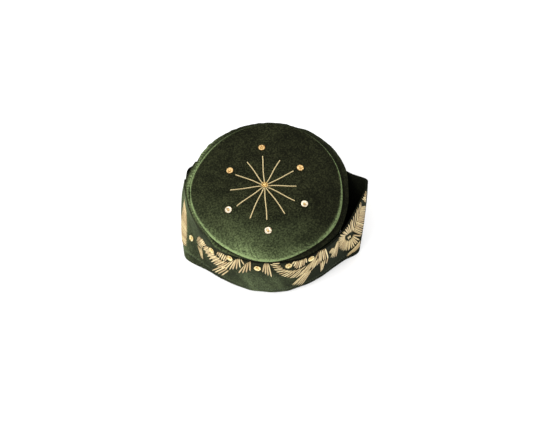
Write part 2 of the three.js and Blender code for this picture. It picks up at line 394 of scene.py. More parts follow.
    def side_radius(self, azimuth: Array, height: Array) -> Array:
        """Radius of the side's outer face at a height.

        From the seam to the roll's widest place it is a quarter of an ellipse, from there down to
        the cuff's lip a smooth step, and below that the wall inside the cuff.

        Args:
            azimuth: Degrees.
            height: Metres.

        Returns:
            The radius, in metres.
        """
        top = self.side_top(azimuth)
        above_lip = self.lip_height(azimuth) + self.lip_clearance
        low = self.side_low(azimuth)
        widest = top - np.minimum(0.45 * self.roll_size, 0.5 * (top - low))
        seam = self.seam_radius(azimuth)
        full = seam + self.roll_size * self.girth("roll_reach", azimuth)
        t = 1 - (top - height) / (top - widest)
        upper = mix(seam, full, np.sqrt(np.maximum(0.0, 1 - t * t)))
        lower = mix(full, self.side_inside(azimuth, low), smooth((widest - height) / (widest - low)))
        radius = np.where(height >= low, lower, self.side_inside(azimuth, height))
        radius = np.where(height >= widest, upper, radius)
        share = height / self.lip_height(azimuth)
        lining = self.lap_tuck(azimuth, share) + self.cuff_wall + self.worn_gap
        room = self.cuff_radius(azimuth, share) - lining
        return np.where(height < above_lip, np.minimum(radius, room), radius)

    def strip_azimuth(self, along: Array, share: Array) -> Array:
        """Azimuth on the cuff's strip at a share of its length and of its height.

        The sections lean with the right ear's fold near that ear, and with the cut ends elsewhere.

        Args:
            along: Share of the strip's length.
            share: Share of its height.

        Returns:
            Degrees.
        """
        foot = mix(self.outer_end[0], self.inner_end[0], along)
        cut = mix(self.outer_end[1], self.inner_end[1], along) - foot
        right = self.ears[0]
        near = smooth(1 - np.abs(foot - right.foot.azimuth) / self.fold_span_deg)
        return foot + share * mix(cut, right.lip.azimuth - right.foot.azimuth, near)

    def lap_tuck(self, azimuth: Array, share: Array) -> Array:
        """How far the strip's inner end steps inwards under its outer end.

        Args:
            azimuth: Degrees.
            share: Share of the cuff's height.

        Returns:
            Metres.
        """
        held = np.minimum(share, 1.0)
        start = mix(self.outer_end[0], self.outer_end[1], held) + 360.0
        end = mix(self.inner_end[0], self.inner_end[1], held)
        before = smooth((azimuth - start + self.tuck_start_deg) / self.tuck_start_deg)
        after = smooth((end - azimuth + self.tuck_start_deg) / self.tuck_start_deg)
        return (self.cuff_wall + self.seam_gap) * np.minimum(before, after)


# Meshes


@dataclass
class MeshParts:
    """Vertices, faces and per-point values that are gathered before they become one mesh."""

    points: list[Array] = field(default_factory=list)
    faces: list[Array] = field(default_factory=list)
    finishes: list[Array] = field(default_factory=list)
    values: dict[str, list[Array]] = field(default_factory=dict)
    flat_map: list[Array] = field(default_factory=list)
    count: int = 0

    def add_points(self, points: Array, flat_map: Array | None = None, **values: Array) -> int:
        """Adds points with their map coordinates and values.

        Args:
            points: Array whose last axis is x, y, z.
            flat_map: Two map coordinates for each point.
            values: Named numbers for each point.

        Returns:
            The index of the first of them.
        """
        first = self.count
        loose = np.reshape(points, (-1, 3))
        self.points.append(loose)
        self.count += len(loose)
        given = np.zeros((len(loose), 2)) if flat_map is None else np.reshape(flat_map, (-1, 2))
        self.flat_map.append(given)
        for name, numbers in values.items():
            spread = np.broadcast_to(numbers, points.shape[:-1])
            self.values.setdefault(name, []).append(np.reshape(spread, -1))
        return first

    def add_faces(self, faces: Array, finish: int = 0) -> None:
        """Adds rows of three or four point indices with one finish."""
        self.faces.append(faces)
        self.finishes.append(np.full(len(faces), finish))

    def add_grid(self, first: int, rows: int, columns: int, *, wrap_rows: bool = False,
                 wrap_columns: bool = False, finish: int = 0, from_row: int = 0,
                 to_row: int | None = None) -> None:
        """Adds the quads between neighbouring rows and columns of a grid of points.

        Args:
            first: Index of the grid's first point.
            rows: Rows in the grid.
            columns: Columns in the grid.
            wrap_rows: Joins the last row to the first.
            wrap_columns: Joins the last column to the first.
            finish: Index of the material.
            from_row: First row that gets faces.
            to_row: Row before which they stop.
        """
        last_row = (rows if wrap_rows else rows - 1) if to_row is None else to_row
        row = np.arange(from_row, last_row)[:, None]
        column = np.arange(columns if wrap_columns else columns - 1)[None, :]
        next_row = (row + 1) % rows
        next_column = (column + 1) % columns
        corners = [row * columns + column, row * columns + next_column,
                   next_row * columns + next_column, next_row * columns + column]
        quads = np.stack(np.broadcast_arrays(*corners), axis=-1).reshape(-1, 4)
        self.add_faces(first + quads, finish)

    def add_fan(self, middle: int, ring: Array, *, flip: bool, finish: int = 0) -> None:
        """Closes a ring of points with triangles to one middle point.

        Args:
            middle: Index of the middle point.
            ring: Indices of the ring's points, in their order.
            flip: Turns the triangles over.
            finish: Index of the material.
        """
        after = np.roll(ring, -1)
        pair = (after, ring) if flip else (ring, after)
        self.add_faces(np.stack([np.full(len(ring), middle), *pair], axis=-1), finish)

    def build(self, name: str, finishes: tuple[bpy.types.Material, ...]) -> bpy.types.Object:
        """Makes the mesh object.

        Args:
            name: The piece's name.
            finishes: Its materials, in the order of the faces' finish indices.

        Returns:
            The new object, smooth shaded, linked to the scene.
        """
        points = np.concatenate(self.points)
        loops = np.concatenate([faces.reshape(-1) for faces in self.faces]).astype(np.int32)
        sizes = np.concatenate([np.full(len(faces), faces.shape[1]) for faces in self.faces])
        starts = np.concatenate([[0], np.cumsum(sizes)[:-1]]).astype(np.int32)
        mesh = bpy.data.meshes.new(name)
        mesh.vertices.add(len(points))
        mesh.vertices.foreach_set("co", points.astype(np.float32).reshape(-1))
        mesh.loops.add(len(loops))
        mesh.loops.foreach_set("vertex_index", loops)
        mesh.polygons.add(len(sizes))
        mesh.polygons.foreach_set("loop_start", starts)
        mesh.polygons.foreach_set("material_index", np.concatenate(self.finishes).astype(np.int32))
        mesh.update(calc_edges=True)
        flat_map = np.concatenate(self.flat_map)[loops].astype(np.float32)
        mesh.uv_layers.new(name="map").data.foreach_set("uv", flat_map.reshape(-1))
        for key, chunks in self.values.items():
            layer = mesh.attributes.new(key, "FLOAT", "POINT")
            layer.data.foreach_set("value", np.concatenate(chunks).astype(np.float32))
        mesh.validate()
        mesh.shade_smooth()
        for finish in finishes:
            mesh.materials.append(finish)
        piece = bpy.data.objects.new(name, mesh)
        bpy.context.scene.collection.objects.link(piece)
        return piece


def fit(piece: bpy.types.Object, slot: str, *nodes: str) -> bpy.types.Object:
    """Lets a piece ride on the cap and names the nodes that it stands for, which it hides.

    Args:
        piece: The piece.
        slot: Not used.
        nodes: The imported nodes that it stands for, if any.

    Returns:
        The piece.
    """
    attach(piece, "root")
    if nodes:
        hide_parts(*nodes)
    stands_for = ", ".join(nodes) or "nothing"
    LOG.info("%s: %d faces, stands for %s", piece.name, len(piece.data.polygons), stands_for)
    return piece


# Shader work


class Wire:
    """One number in a material's node tree. Its operators add Math nodes."""

    def __init__(self, desk: ShaderDesk, socket: bpy.types.NodeSocket) -> None:
        """Wraps an output socket of the desk's tree."""
        self.desk = desk
        self.socket = socket

    def _math(self, operation: str, first: Wire | float, second: Wire | float) -> Wire:
        """A Math node on two inputs."""
        node = self.desk.node("ShaderNodeMath", {"operation": operation}, {0: first, 1: second})
        return Wire(self.desk, node.outputs[0])

    def __add__(self, other: Wire | float) -> Wire:
        """self + other."""
        return self._math("ADD", self, other)

    def __radd__(self, other: float) -> Wire:
        """other + self."""
        return self._math("ADD", other, self)

    def __sub__(self, other: Wire | float) -> Wire:
        """self - other."""
        return self._math("SUBTRACT", self, other)

    def __rsub__(self, other: float) -> Wire:
        """other - self."""
        return self._math("SUBTRACT", other, self)

    def __mul__(self, other: Wire | float) -> Wire:
        """self times other."""
        return self._math("MULTIPLY", self, other)

    def __rmul__(self, other: float) -> Wire:
        """other times self."""
        return self._math("MULTIPLY", other, self)

    def __pow__(self, other: float) -> Wire:
        """self to the power other."""
        return self._math("POWER", self, other)

    def sine(self) -> Wire:
        """The sine of self, in radians."""
        return self._math("SINE", self, 0.0)

    def held(self) -> Wire:
        """self kept between 0 and 1."""
        node = self.desk.node("ShaderNodeClamp", {}, {0: self})
        return Wire(self.desk, node.outputs[0])


class ShaderDesk:
    """Builds the node tree of one material round a Principled shader."""

    def __init__(self, name: str) -> None:
        """Starts an empty material with its output and its shader.

        Args:
            name: The material's name.
        """
        self.material = bpy.data.materials.new(name)
        self.material.use_nodes = True
        self.tree = self.material.node_tree
        self.tree.nodes.clear()
        self.shader = self.node("ShaderNodeBsdfPrincipled", {}, {})
        self.node("ShaderNodeOutputMaterial", {}, {"Surface": self.shader.outputs[0]})

    def node(self, kind: str, settings: dict, values: dict) -> bpy.types.Node:
        """Adds a node.

        Args:
            kind: The node's type.
            settings: Its properties, set first.
            values: A number, colour, link or Wire for each input, by name or index.

        Returns:
            The node.
        """
        node = self.tree.nodes.new(kind)
        for key, setting in settings.items():
            setattr(node, key, setting)
        for key, value in values.items():
            self.plug(node.inputs[key], value)
        return node

    def plug(self, socket: bpy.types.NodeSocket, value: object) -> None:
        """Links a socket to a Wire or a socket, or sets its own value.

        Args:
            socket: The input.
            value: A Wire, a socket, a colour or a number.
        """
        if isinstance(value, Wire):
            self.tree.links.new(value.socket, socket)
        elif isinstance(value, bpy.types.NodeSocket):
            self.tree.links.new(value, socket)
        elif isinstance(value, tuple) and socket.type == "RGBA":
            socket.default_value = (*value, 1.0)
        else:
            socket.default_value = value

    def object_place(self) -> bpy.types.NodeSocket:
        """Object coordinates."""
        return self.node("ShaderNodeTexCoord", {}, {}).outputs["Object"]

    def map_axes(self) -> tuple[Wire, Wire]:
        """The two coordinates of the piece's own map.

        Returns:
            The first and the second coordinate.
        """
        source = self.node("ShaderNodeUVMap", {"uv_map": "map"}, {}).outputs[0]
        split = self.node("ShaderNodeSeparateXYZ", {}, {0: source})
        return Wire(self, split.outputs[0]), Wire(self, split.outputs[1])

    def value_of(self, attribute: str) -> Wire:
        """A number stored on the piece's points."""
        node = self.node("ShaderNodeAttribute", {"attribute_name": attribute}, {})
        return Wire(self, node.outputs["Fac"])

    def noise(self, grain: float, detail: float = 2.0, rough: float = 0.5) -> Wire:
        """Cloudy noise in the object's space.

        Args:
            grain: Size of the spots, in metres.
            detail: How many finer layers it has.
            rough: How strong they are.

        Returns:
            Values from 0 to 1, mostly near 0.5.
        """
        place = self.object_place()
        values = {"Vector": place, "Scale": 1.0 / grain, "Detail": detail, "Roughness": rough}
        return Wire(self, self.node("ShaderNodeTexNoise", {}, values).outputs["Fac"])

    def blend(self, share: Wire | float, start: object, end: object) -> bpy.types.NodeSocket:
        """A colour between two colours.

        Args:
            share: How far it lies from the start to the end.
            start: A colour or its socket.
            end: A colour or its socket.

        Returns:
            The socket of the blended colour.
        """
        node = self.node("ShaderNodeMix", {"data_type": "RGBA"}, {0: share, 6: start, 7: end})
        return node.outputs[2]

    def bump(self, height: Wire, depth: float, strength: float = 1.0) -> None:
        """Bends the shader's normal by a height from 0 to 1, depth metres deep."""
        values = {"Height": height, "Distance": depth, "Strength": strength}
        self.set(Normal=self.node("ShaderNodeBump", {}, values).outputs[0])

    def set(self, **values: object) -> None:
        """Sets the shader's sockets, with _ for the spaces in their names."""
        for key, value in values.items():
            self.plug(self.shader.inputs[key.replace("_", " ")], value)


@dataclass(frozen=True)
class Velvet:
    """Cut pile cloth: dark looking into the pile, with a painted highlight that turns it pale and
    painted shade that darkens it, both read from the points.

    Open pile is the share that lies open, patchiness how far that drifts from patch to patch, and
    the highlight gain how soon the painted highlight turns pale.
    """

    name: str
    deep: Colour
    pile: Colour
    # Colour of the painted highlight.
    crushed: Colour
    sheen: float = 0.07
    open_pile: float = 0.22
    patchiness: float = 1.4
    crush_gain: float = 1.15
    patch: float = 19 * MM
    tuft: float = 1.7 * MM
    fibre: float = 0.6 * MM

    def material(self) -> bpy.types.Material:
        """The node material, which reads the points' painted highlight and painted shade values.

        Returns:
            The material.
        """
        desk = ShaderDesk(self.name)
        patches = desk.noise(self.patch, 4.0, rough=0.6)
        tufts = desk.noise(self.tuft, 3.0)
        fibres = desk.noise(self.fibre, 2.0)
        grain = (tufts - 0.5) * 3.2 + (fibres - 0.5) * 2.0
        drift = (patches - 0.5) * self.patchiness
        lie = (self.open_pile + drift + grain).held()
        colour = desk.blend(lie, self.deep, self.pile)
        # Painted highlight: the pile turns towards its pale colour where the points' value says.
        crush = desk.value_of("crush")
        pale = (crush * (self.crush_gain + drift + grain * 1.1)).held()
        colour = desk.blend(pale, colour, self.crushed)
        dark = (desk.value_of("shadow") * (1.0 - grain * 0.25)).held()
        colour = desk.blend(dark, colour, tuple(0.45 * part for part in self.deep))
        desk.set(Base_Color=colour, Roughness=(0.8 + 0.2 * tufts).held(), Specular_IOR_Level=0.04)
        desk.set(Sheen_Weight=self.sheen, Sheen_Roughness=0.35, Sheen_Tint=(0.5, 0.66, 0.38))
        desk.bump(fibres * 0.55 + tufts * 0.45, 0.4 * MM, 0.75)
        return desk.material


@dataclass(frozen=True)
class PlainBack:
    """The woven back of the velvet, which shows inside the cap."""

    name: str = "velvet_back"
    warp: Colour = (0.022, 0.034, 0.018)
    weft: Colour = (0.04, 0.058, 0.032)
    thread: float = 0.7 * MM

    def material(self) -> bpy.types.Material:
        """The node material: a plain weave from two crossing sines along the piece's map.

        Returns:
            The material.
        """
        desk = ShaderDesk(self.name)
        across, up = desk.map_axes()
        turns = 2 * np.pi / self.thread
        weave = (across * turns).sine() * (up * turns).sine() * 0.5 + 0.5
        wear = desk.noise(9 * MM, 3.0)
        desk.set(Base_Color=desk.blend((weave * 0.7 + wear * 0.4).held(), self.warp, self.weft))
        desk.set(Roughness=(0.85 + 0.12 * wear).held(), Specular_IOR_Level=0.2)
        desk.bump(weave * 0.8 + wear * 0.2, 0.2 * MM, 0.6)
        return desk.material


@dataclass(frozen=True)
class SatinThread:
    """Metallic gold thread laid in flat bundles, which reads the map: along, and -1 to 1 across."""

    name: str
    # The bright colour is a painted glint, the next one painted shade, and the edge colour painted shade
    # on the bundle's sides.
    bright: Colour = (0.88, 0.73, 0.38)
    worn: Colour = (0.34, 0.205, 0.07)
    edge: Colour = (0.05, 0.026, 0.008)
    strands: float = 4.0
    twist: float = 0.0
    metal: float = 0.2

    def material(self) -> bpy.types.Material:
        """The node material: strands along the stitch, painted glints, painted shade at its long edges.

        Returns:
            The material.
        """
        desk = ShaderDesk(self.name)
        along, across = desk.map_axes()
        lines = (across * (np.pi * self.strands) + along * self.twist).sine() * 0.5 + 0.5
        glints = desk.noise(0.9 * MM, 2.0)
        shade = desk.value_of("shade")
        # Painted glints and painted shade: each stitch's value and the glint noise blend the two colours.
        colour = desk.blend((shade * 0.7 + glints * 1.6 - 0.6).held(), self.worn, self.bright)
        # Painted shade on the bundle's long edges and between its strands.
        rim = ((across * across) ** 1.5 * 0.95 + (1 - lines) * 0.14).held()
        colour = desk.blend(rim, colour, self.edge)
        desk.set(Base_Color=colour, Metallic=self.metal, Roughness=(0.38 + 0.22 * glints).held())
        desk.bump(lines * 0.7 + glints * 0.3, 0.14 * MM, 0.8)
        return desk.material


@dataclass(frozen=True)
class GlossSequin:
    """A thin gloss disc, a little uneven from handling."""

    name: str
    body: Colour
    shade: Colour

    def material(self) -> bpy.types.Material:
        """The node material: pale gloss, darker middle, painted shade at the edge, by the map's distance.

        Returns:
            The material.
        """
        desk = ShaderDesk(self.name)
        out, _ = desk.map_axes()
        # Fine noise: painted sparkle in the colour, and small dents and rough spots.
        marks = desk.noise(1.5 * MM, 2.0)
        # Painted shade ring at the edge and a darker middle, both by the map's distance.
        edge = out ** 7.0 * 0.8
        shade_and_sparkle = ((1 - out) ** 2.0 * 0.8 + edge + (marks - 0.47) * 4.0).held()
        desk.set(Base_Color=desk.blend(shade_and_sparkle, self.body, self.shade), Metallic=0.25, Specular_IOR_Level=0.3)
        desk.set(Roughness=(0.22 + 0.25 * marks).held())
        desk.bump(marks, 0.05 * MM, 0.5)
        return desk.material


@dataclass(frozen=True)
class GiltBead:
    """Polished gilt, rubbed in places."""

    name: str = "gilt_bead"
    bright: Colour = (0.86, 0.63, 0.27)
    rubbed: Colour = (0.45, 0.27, 0.08)

    def material(self) -> bpy.types.Material:
        """The node material: gilt with rubbed patches.

        Returns:
            The material.
        """
        desk = ShaderDesk(self.name)
        wear = desk.noise(1.1 * MM, 4.0)
        desk.set(Base_Color=desk.blend((wear * 1.6 - 0.4).held(), self.rubbed, self.bright), Metallic=0.85)
        desk.set(Roughness=(0.18 + 0.25 * wear).held())
        desk.bump(wear, 0.05 * MM, 0.4)
        return desk.material


@dataclass(frozen=True)
class StudioFloor:
    """A pale matt floor."""

    name: str = "studio_floor"
    pale: Colour = (0.93, 0.93, 0.93)

    def material(self) -> bpy.types.Material:
        """The node material: almost even pale paper.

        Returns:
            The material.
        """
        desk = ShaderDesk(self.name)
        fleck = desk.noise(40 * MM, 2.0)
        desk.set(Base_Color=desk.blend(fleck, self.pale, tuple(0.985 * part for part in self.pale)))
        desk.set(Roughness=0.9, Specular_IOR_Level=0.1)
        return desk.material


# Cloth pieces


@dataclass(frozen=True)
class RimMark:
    """Painted highlight along the rim at one azimuth, and how far in it reaches, in mm.

    The line is a painted highlight on the thin crest, the band lies inside it, side lies on the roll,
    and the last column is how much painted shade lies on the roll and on the tip beside it.
    """

    azimuth: float
    line: float
    line_width: float
    band: float
    band_width: float
    side: float
    # Painted shade on the roll and on the tip beside it.
    gloom: float


@dataclass
class CrownTip:
    """The round domed top, with its edge pinched into a ridge along the seam."""

    shape: CapShape
    around_steps: int = 360
    coarse_rings: int = 30
    fine_rings: int = 34
    fine_from: float = 0.8
    edge_rings: int = 9
    under_rings: int = 16
    ridge_rise: float = 0.9 * MM
    ridge_width: float = 1.6 * MM
    ridge_inset_widths: float = 0.9
    dent: float = 0.35 * MM
    pucker: float = 0.22 * MM
    calm_reach: float = 4 * MM
    # Inset of the painted highlight line, the painted highlight bloom inside the front, and its faint
    # spread towards the lit side.
    crest: float = 0.4 * MM
    bloom: float = 0.2
    bloom_inset: float = 22 * MM
    bloom_width: float = 14 * MM
    spread: float = 0.055
    pale_side_deg: float = 242.0
    marks: tuple[RimMark, ...] = (
        RimMark(0, 1.1, 1.3, 0.0, 8, 0.0, 0.75),
        RimMark(30, 0.65, 0.7, 0.0, 8, 0.02, 0.6),
        RimMark(60, 0.1, 0.6, 0.0, 8, 0.05, 0.45),
        RimMark(90, 0.0, 0.6, 0.0, 8, 0.05, 0.35),
        RimMark(120, 0.25, 1.0, 0.0, 8, 0.12, 0.4),
        RimMark(150, 0.75, 1.2, 0.0, 8, 0.5, 0.35),
        RimMark(180, 0.95, 1.2, 0.0, 8, 0.8, 0.3),
        RimMark(210, 0.95, 1.3, 0.16, 7, 0.4, 0.15),
        RimMark(240, 1.0, 1.2, 0.35, 11, 0.08, 0.15),
        RimMark(270, 0.8, 1.3, 0.37, 11, 0.02, 0.4),
        RimMark(300, 0.3, 1.2, 0.25, 8, 0.0, 0.7),
        RimMark(330, 1.1, 2.5, 0.0, 6, 0.0, 0.9),
    )

    def mark(self, column: str, azimuth: Array) -> Array:
        """A column of the marks table at any azimuth."""
        return loop_curve(np.array([getattr(row, column) for row in self.marks]), azimuth)

    def top(self, azimuth: Array, q: Array) -> Array:
        """Points on the tip's upper face.

        The height is the dome's, plus soft dents of a few waves that die out at the middle, plus a
        ridge of exp(-(distance from the rim / width - 0.9)^2) along the edge, with small puckers.

        Args:
            azimuth: Degrees.
            q: Share of the rim's radius.

        Returns:
            Points in the frame.
        """
        radius = self.shape.rim_radius(azimuth)
        inset = (1 - q) * radius
        ridge = self.ridge_rise * bell(inset / self.ridge_width, self.ridge_inset_widths, 1.0)
        calm = smooth(inset / self.calm_reach)
        dents = self.dent * smooth(q * 1.6 - 0.8) * ripple(azimuth + 40 * q, (3, 5, 8), 3) * calm
        puckers = self.pucker * np.exp(-inset / self.calm_reach) * ripple(azimuth, (61, 83, 97), 5)
        height = self.shape.tip_height(azimuth, q) + ridge + dents + puckers
        return self.shape.placed(around(azimuth, radius * q, height))

    def crush(self, azimuth: Array, q: Array) -> Array:
        """Painted highlight: a line on the ridge, a band inside the front, a spread to the lit side.

        Args:
            azimuth: Degrees.
            q: Share of the rim's radius.

        Returns:
            Values from 0 to 1.
        """
        inset = (1 - q) * self.shape.rim_radius(azimuth)
        line_width = self.mark("line_width", azimuth) * MM
        band_width = self.mark("band_width", azimuth) * MM
        line = self.mark("line", azimuth) * bell(np.maximum(inset - self.crest, 0.0), 0.0, line_width)
        # Waves and streaks in the painted highlight band.
        folds = 0.75 + 0.35 * ripple(azimuth + inset * 900, (4, 9), 11)
        streaks = 1.0 + 0.4 * ripple(azimuth + inset * 700, (71, 97, 131), 33)
        band = self.mark("band", azimuth) * bell(inset, 0.0, band_width) * folds * streaks
        bloom = self.bloom * bell(inset, self.bloom_inset, self.bloom_width) * self.mark("band", azimuth)
        # The painted highlight spreads faintly towards the lit side.
        towards = 0.5 + 0.5 * np.cos(np.radians(azimuth - self.pale_side_deg))
        spread = self.spread * towards**2 * q**2
        return np.clip(line + band + bloom + spread, 0.0, 1.0)

    def build(self, velvet: bpy.types.Material, back: bpy.types.Material) -> bpy.types.Object:
        """Makes the closed shell: rings out over the top, round the edge and back underneath.

        Args:
            velvet: Finish of the upper face.
            back: Finish of the underside.

        Returns:
            The piece.
        """
        wall = self.shape.tip_wall
        azimuth = even_azimuths(self.around_steps)
        coarse = np.linspace(0.02, self.fine_from, self.coarse_rings)
        q_top = np.concatenate([coarse, np.linspace(self.fine_from, 1.0, self.fine_rings)[1:]])
        turn = np.linspace(0, np.pi, self.edge_rings)[1:-1]
        q_under = np.linspace(1.0, 0.03, self.under_rings)
        edge_round = 0.5 * wall
        azimuth_grid, q_grid = np.meshgrid(azimuth, q_top, indexing="xy")
        inwards = edge_round * smooth((q_grid - 0.985) / 0.015) / self.shape.rim_radius(azimuth_grid)
        top = self.top(azimuth_grid, q_grid - inwards)
        rim = self.shape.rim_radius(azimuth)[None, :]
        start = self.top(azimuth, np.ones_like(azimuth) - edge_round / rim[0])[None, :, 2]
        drop = (start - (self.shape.tip_height(azimuth, 1.0) - wall)[None, :]) / 2
        edge_radius = rim - edge_round + edge_round * np.sin(turn)[:, None]
        edge_height = start - drop + drop * np.cos(turn)[:, None]
        edge = self.shape.placed(around(azimuth[None, :], edge_radius, edge_height))
        under_azimuth, under_q = np.meshgrid(azimuth, q_under, indexing="xy")
        under_share = under_q - edge_round / self.shape.rim_radius(under_azimuth) * (under_q > 0.999)
        under_height = self.shape.tip_height(under_azimuth, under_share) - wall
        under_radius = self.shape.rim_radius(under_azimuth) * under_share
        under = self.shape.placed(around(under_azimuth, under_radius, under_height))
        shell = np.concatenate([top, edge, under])
        shares = np.concatenate([q_grid, np.ones((len(turn), len(azimuth))), np.ones_like(under_q)])
        # Painted highlight on the upper face only; painted shade from the rim table, and deep on the
        # underside.
        crush = self.crush(np.broadcast_to(azimuth, shares.shape), shares)
        crush[len(q_top) + len(turn):] = 0.0
        shadow = 0.55 * self.mark("gloom", azimuth)[None, :] * smooth(shares * 1.4 - 0.3)
        shadow[len(q_top) + len(turn) // 2:] = 0.8
        flat_map = np.stack([shell[..., 0], shell[..., 1]], axis=-1)
        parts = MeshParts()
        first = parts.add_points(shell, flat_map, crush=crush, shadow=shadow)
        rows, columns = shell.shape[:2]
        face_rows = len(q_top) + len(turn)
        parts.add_grid(first, rows, columns, wrap_columns=True, to_row=face_rows)
        parts.add_grid(first, rows, columns, wrap_columns=True, from_row=face_rows, finish=1)
        parts.faces = [faces[:, ::-1] for faces in parts.faces]
        middle = self.top(np.zeros(1), np.zeros(1))
        below = middle - np.array([0.0, 0.0, wall])
        over_pole = parts.add_points(middle, crush=np.zeros(1), shadow=np.zeros(1))
        under_pole = parts.add_points(below, crush=np.zeros(1), shadow=np.zeros(1))
        first_ring = first + np.arange(columns)
        parts.add_fan(over_pole, first_ring, flip=False)
        parts.add_fan(under_pole, first_ring + (rows - 1) * columns, flip=True, finish=1)
        piece = parts.build("velvet_tip", (velvet, back))
        return fit(piece, "velvet", "crown_tip")


@dataclass
class CrownSide:
    """The soft wall under the tip: a gathered roll that runs down inside the cuff."""

    shape: CapShape
    tip: CrownTip
    around_steps: int = 720
    wall_rings: int = 14
    roll_rings: int = 30
    gather: float = 0.4 * MM
    sway: float = 0.35 * MM
    hollow: float = 2.2 * MM
    hollow_azimuth: float = 70.0
    hollow_width_deg: float = 5.0
    welt_azimuth: float = 187.0
    welt_span_deg: float = 42.0
    welt_fade_deg: float = 12.0
    welt_rise: float = 1.4 * MM
    welt_reach: float = 6.0 * MM
    # Place and width of the painted highlight on the roll and along its crease, and of the painted shade
    # in the seam's groove.
    pale_at: float = 0.26
    pale_width: float = 0.22
    crease: float = 0.12
    crease_at: float = 0.55
    crease_width: float = 0.05
    groove_width: float = 0.06

    def radius(self, azimuth: Array, height: Array) -> Array:
        """Radius of the outer face with its gathers.

        Gathers are an uneven wave of many folds that is strongest just under the seam, with a slower
        sway over the roll and one hollow at the back. All die out at the cuff's lip.

        Args:
            azimuth: Degrees.
            height: Metres.

        Returns:
            The radius, in metres.
        """
        top = self.shape.side_top(azimuth)
        low = self.shape.side_low(azimuth)
        down = (top - height) / (top - low)
        near_seam = smooth(down * 6) * smooth(1.15 - 1.3 * down)
        strength = 0.55 + 0.45 * np.cos(np.radians(azimuth - 170))
        folds = ripple(azimuth + 3 * down, (37, 53, 71), 21) * self.gather * strength * near_seam
        sways = ripple(azimuth, (7, 11, 15), 8) * self.sway * smooth(down * 3) * smooth(2 - 2 * down)
        room = smooth(self.shape.girth("roll_reach", azimuth) / 0.4)
        hollow = self.hollow * bell(azimuth, self.hollow_azimuth, self.hollow_width_deg) * near_seam
        return self.shape.side_radius(azimuth, height) + (folds + sways * room - hollow) * (down < 1)

    def welt(self, azimuth: Array, rise: Array) -> tuple[Array, Array, Array]:
        """The left part of the roll, which swells up beside the rim and lies over the cuff's lip.

        Its section is the smooth curve from inside the cuff out under the overhang, over the lip,
        up to the crest and down the rim's edge to the seam.

        Args:
            azimuth: Degrees, one for each column.
            rise: Share of the way from the cuff's lip to the seam, one for each row.

        Returns:
            Radius, height, and how far the roll follows the welt at each azimuth, from 0 to 1.
        """
        shape = self.shape
        cuff_outer = shape.cuff_radius(azimuth, 1.0)
        inner = cuff_outer - shape.cuff_wall - shape.lap_tuck(azimuth, 1.0)
        rim = shape.rim_radius(azimuth)
        rim_top = shape.tip_height(azimuth, 1.0)
        outer = np.minimum(cuff_outer, rim + self.welt_reach)
        over_lip = smooth((outer + 2.0 * MM - inner) / (1.5 * MM))
        lip = mix(rim_top - 1.5 * MM, shape.lip_height(azimuth), over_lip)
        inner = np.minimum(inner, outer)
        crest = mix(rim_top, np.maximum(lip, rim_top) + self.welt_rise, over_lip)
        low, top = shape.side_low(azimuth), shape.side_top(azimuth)
        radii = np.stack([shape.side_radius(azimuth, low), inner - 0.5 * MM, outer - 0.4 * MM,
                          outer + 0.5 * MM, mix(rim, outer, 0.65), mix(rim, outer, 0.25),
                          rim + 0.3 * MM, shape.seam_radius(azimuth)])
        heights = np.stack([low, lip + 0.3 * MM, lip + 0.4 * MM, lip + 1.1 * MM,
                            crest - 0.3 * MM, crest, rim_top + 0.9 * MM, top])
        turn = np.abs(azimuth - self.welt_azimuth)
        follows = smooth((self.welt_span_deg - turn) / self.welt_fade_deg)
        return open_curve(radii, rise), open_curve(heights, rise), follows

    def build(self, velvet: bpy.types.Material, back: bpy.types.Material) -> bpy.types.Object:
        """Makes the closed wall: sections up the outer face, over the allowance, down inside.

        Args:
            velvet: Finish of the outer face.
            back: Finish of the inner face.

        Returns:
            The piece.
        """
        shape = self.shape
        azimuth = even_azimuths(self.around_steps)
        top, low = shape.side_top(azimuth), shape.side_low(azimuth)
        wall_shares = np.linspace(0.0, 1.0, self.wall_rings)[:-1]
        roll_shares = 1 - np.linspace(0.0, 1.0, self.roll_rings) ** 1.5
        heights = [low * share for share in wall_shares]
        heights += [mix(top, low, share) for share in roll_shares]
        heights = np.array(heights[:-1])
        outer_radius = self.radius(azimuth[None, :], heights)
        first_roll = len(wall_shares)
        roll_rise = np.linspace(0.0, 1.0, len(roll_shares))[:-1]
        welt_radius, welt_height, follows = self.welt(azimuth, roll_rise)
        outer_radius[first_roll:] = mix(outer_radius[first_roll:], welt_radius, follows)
        drawn = heights.copy()
        drawn[first_roll:] = mix(heights[first_roll:], welt_height, follows)
        inner_top = top - shape.side_wall
        under_roll = np.minimum(low, inner_top) - 0.4 * MM
        seam = shape.seam_radius(azimuth)
        edge_radius = seam - shape.seam_allowance
        edge_height = shape.under_tip(azimuth, edge_radius)
        path = [(seam, top), (edge_radius, edge_height), (edge_radius, edge_height - shape.side_wall)]
        for share in (0.15, 0.4, 0.7):
            height = mix(inner_top, under_roll, share)
            path.append((shape.side_radius(azimuth, height) - 1.5 * shape.side_wall, height))
        path.append((shape.side_radius(azimuth, low) - shape.side_wall, under_roll))
        for share in wall_shares[::-1]:
            height = low * share
            path.append((shape.side_radius(azimuth, height) - shape.side_wall, height))
        inner_radius = np.array([radius for radius, _ in path])
        inner_height = np.array([height for _, height in path])
        radii = np.concatenate([outer_radius, inner_radius])
        all_heights = np.concatenate([heights, inner_height])
        wall = shape.placed(around(azimuth[None, :], radii, np.concatenate([drawn, inner_height])))
        crush, shadow = self.shades(np.broadcast_to(azimuth, radii.shape), all_heights, len(heights))
        across = np.radians(azimuth)[None, :] * shape.head_radius
        flat_map = np.stack(np.broadcast_arrays(across, all_heights), axis=-1)
        parts = MeshParts()
        first = parts.add_points(wall, flat_map, crush=crush, shadow=shadow)
        rows, columns = wall.shape[:2]
        outer_rows = len(heights)
        parts.add_grid(first, rows, columns, wrap_columns=True, to_row=outer_rows)
        parts.add_grid(first, rows, columns, wrap_rows=True, wrap_columns=True, from_row=outer_rows,
                       finish=1)
        piece = parts.build("velvet_side", (velvet, back))
        return fit(piece, "velvet", "crown_side")

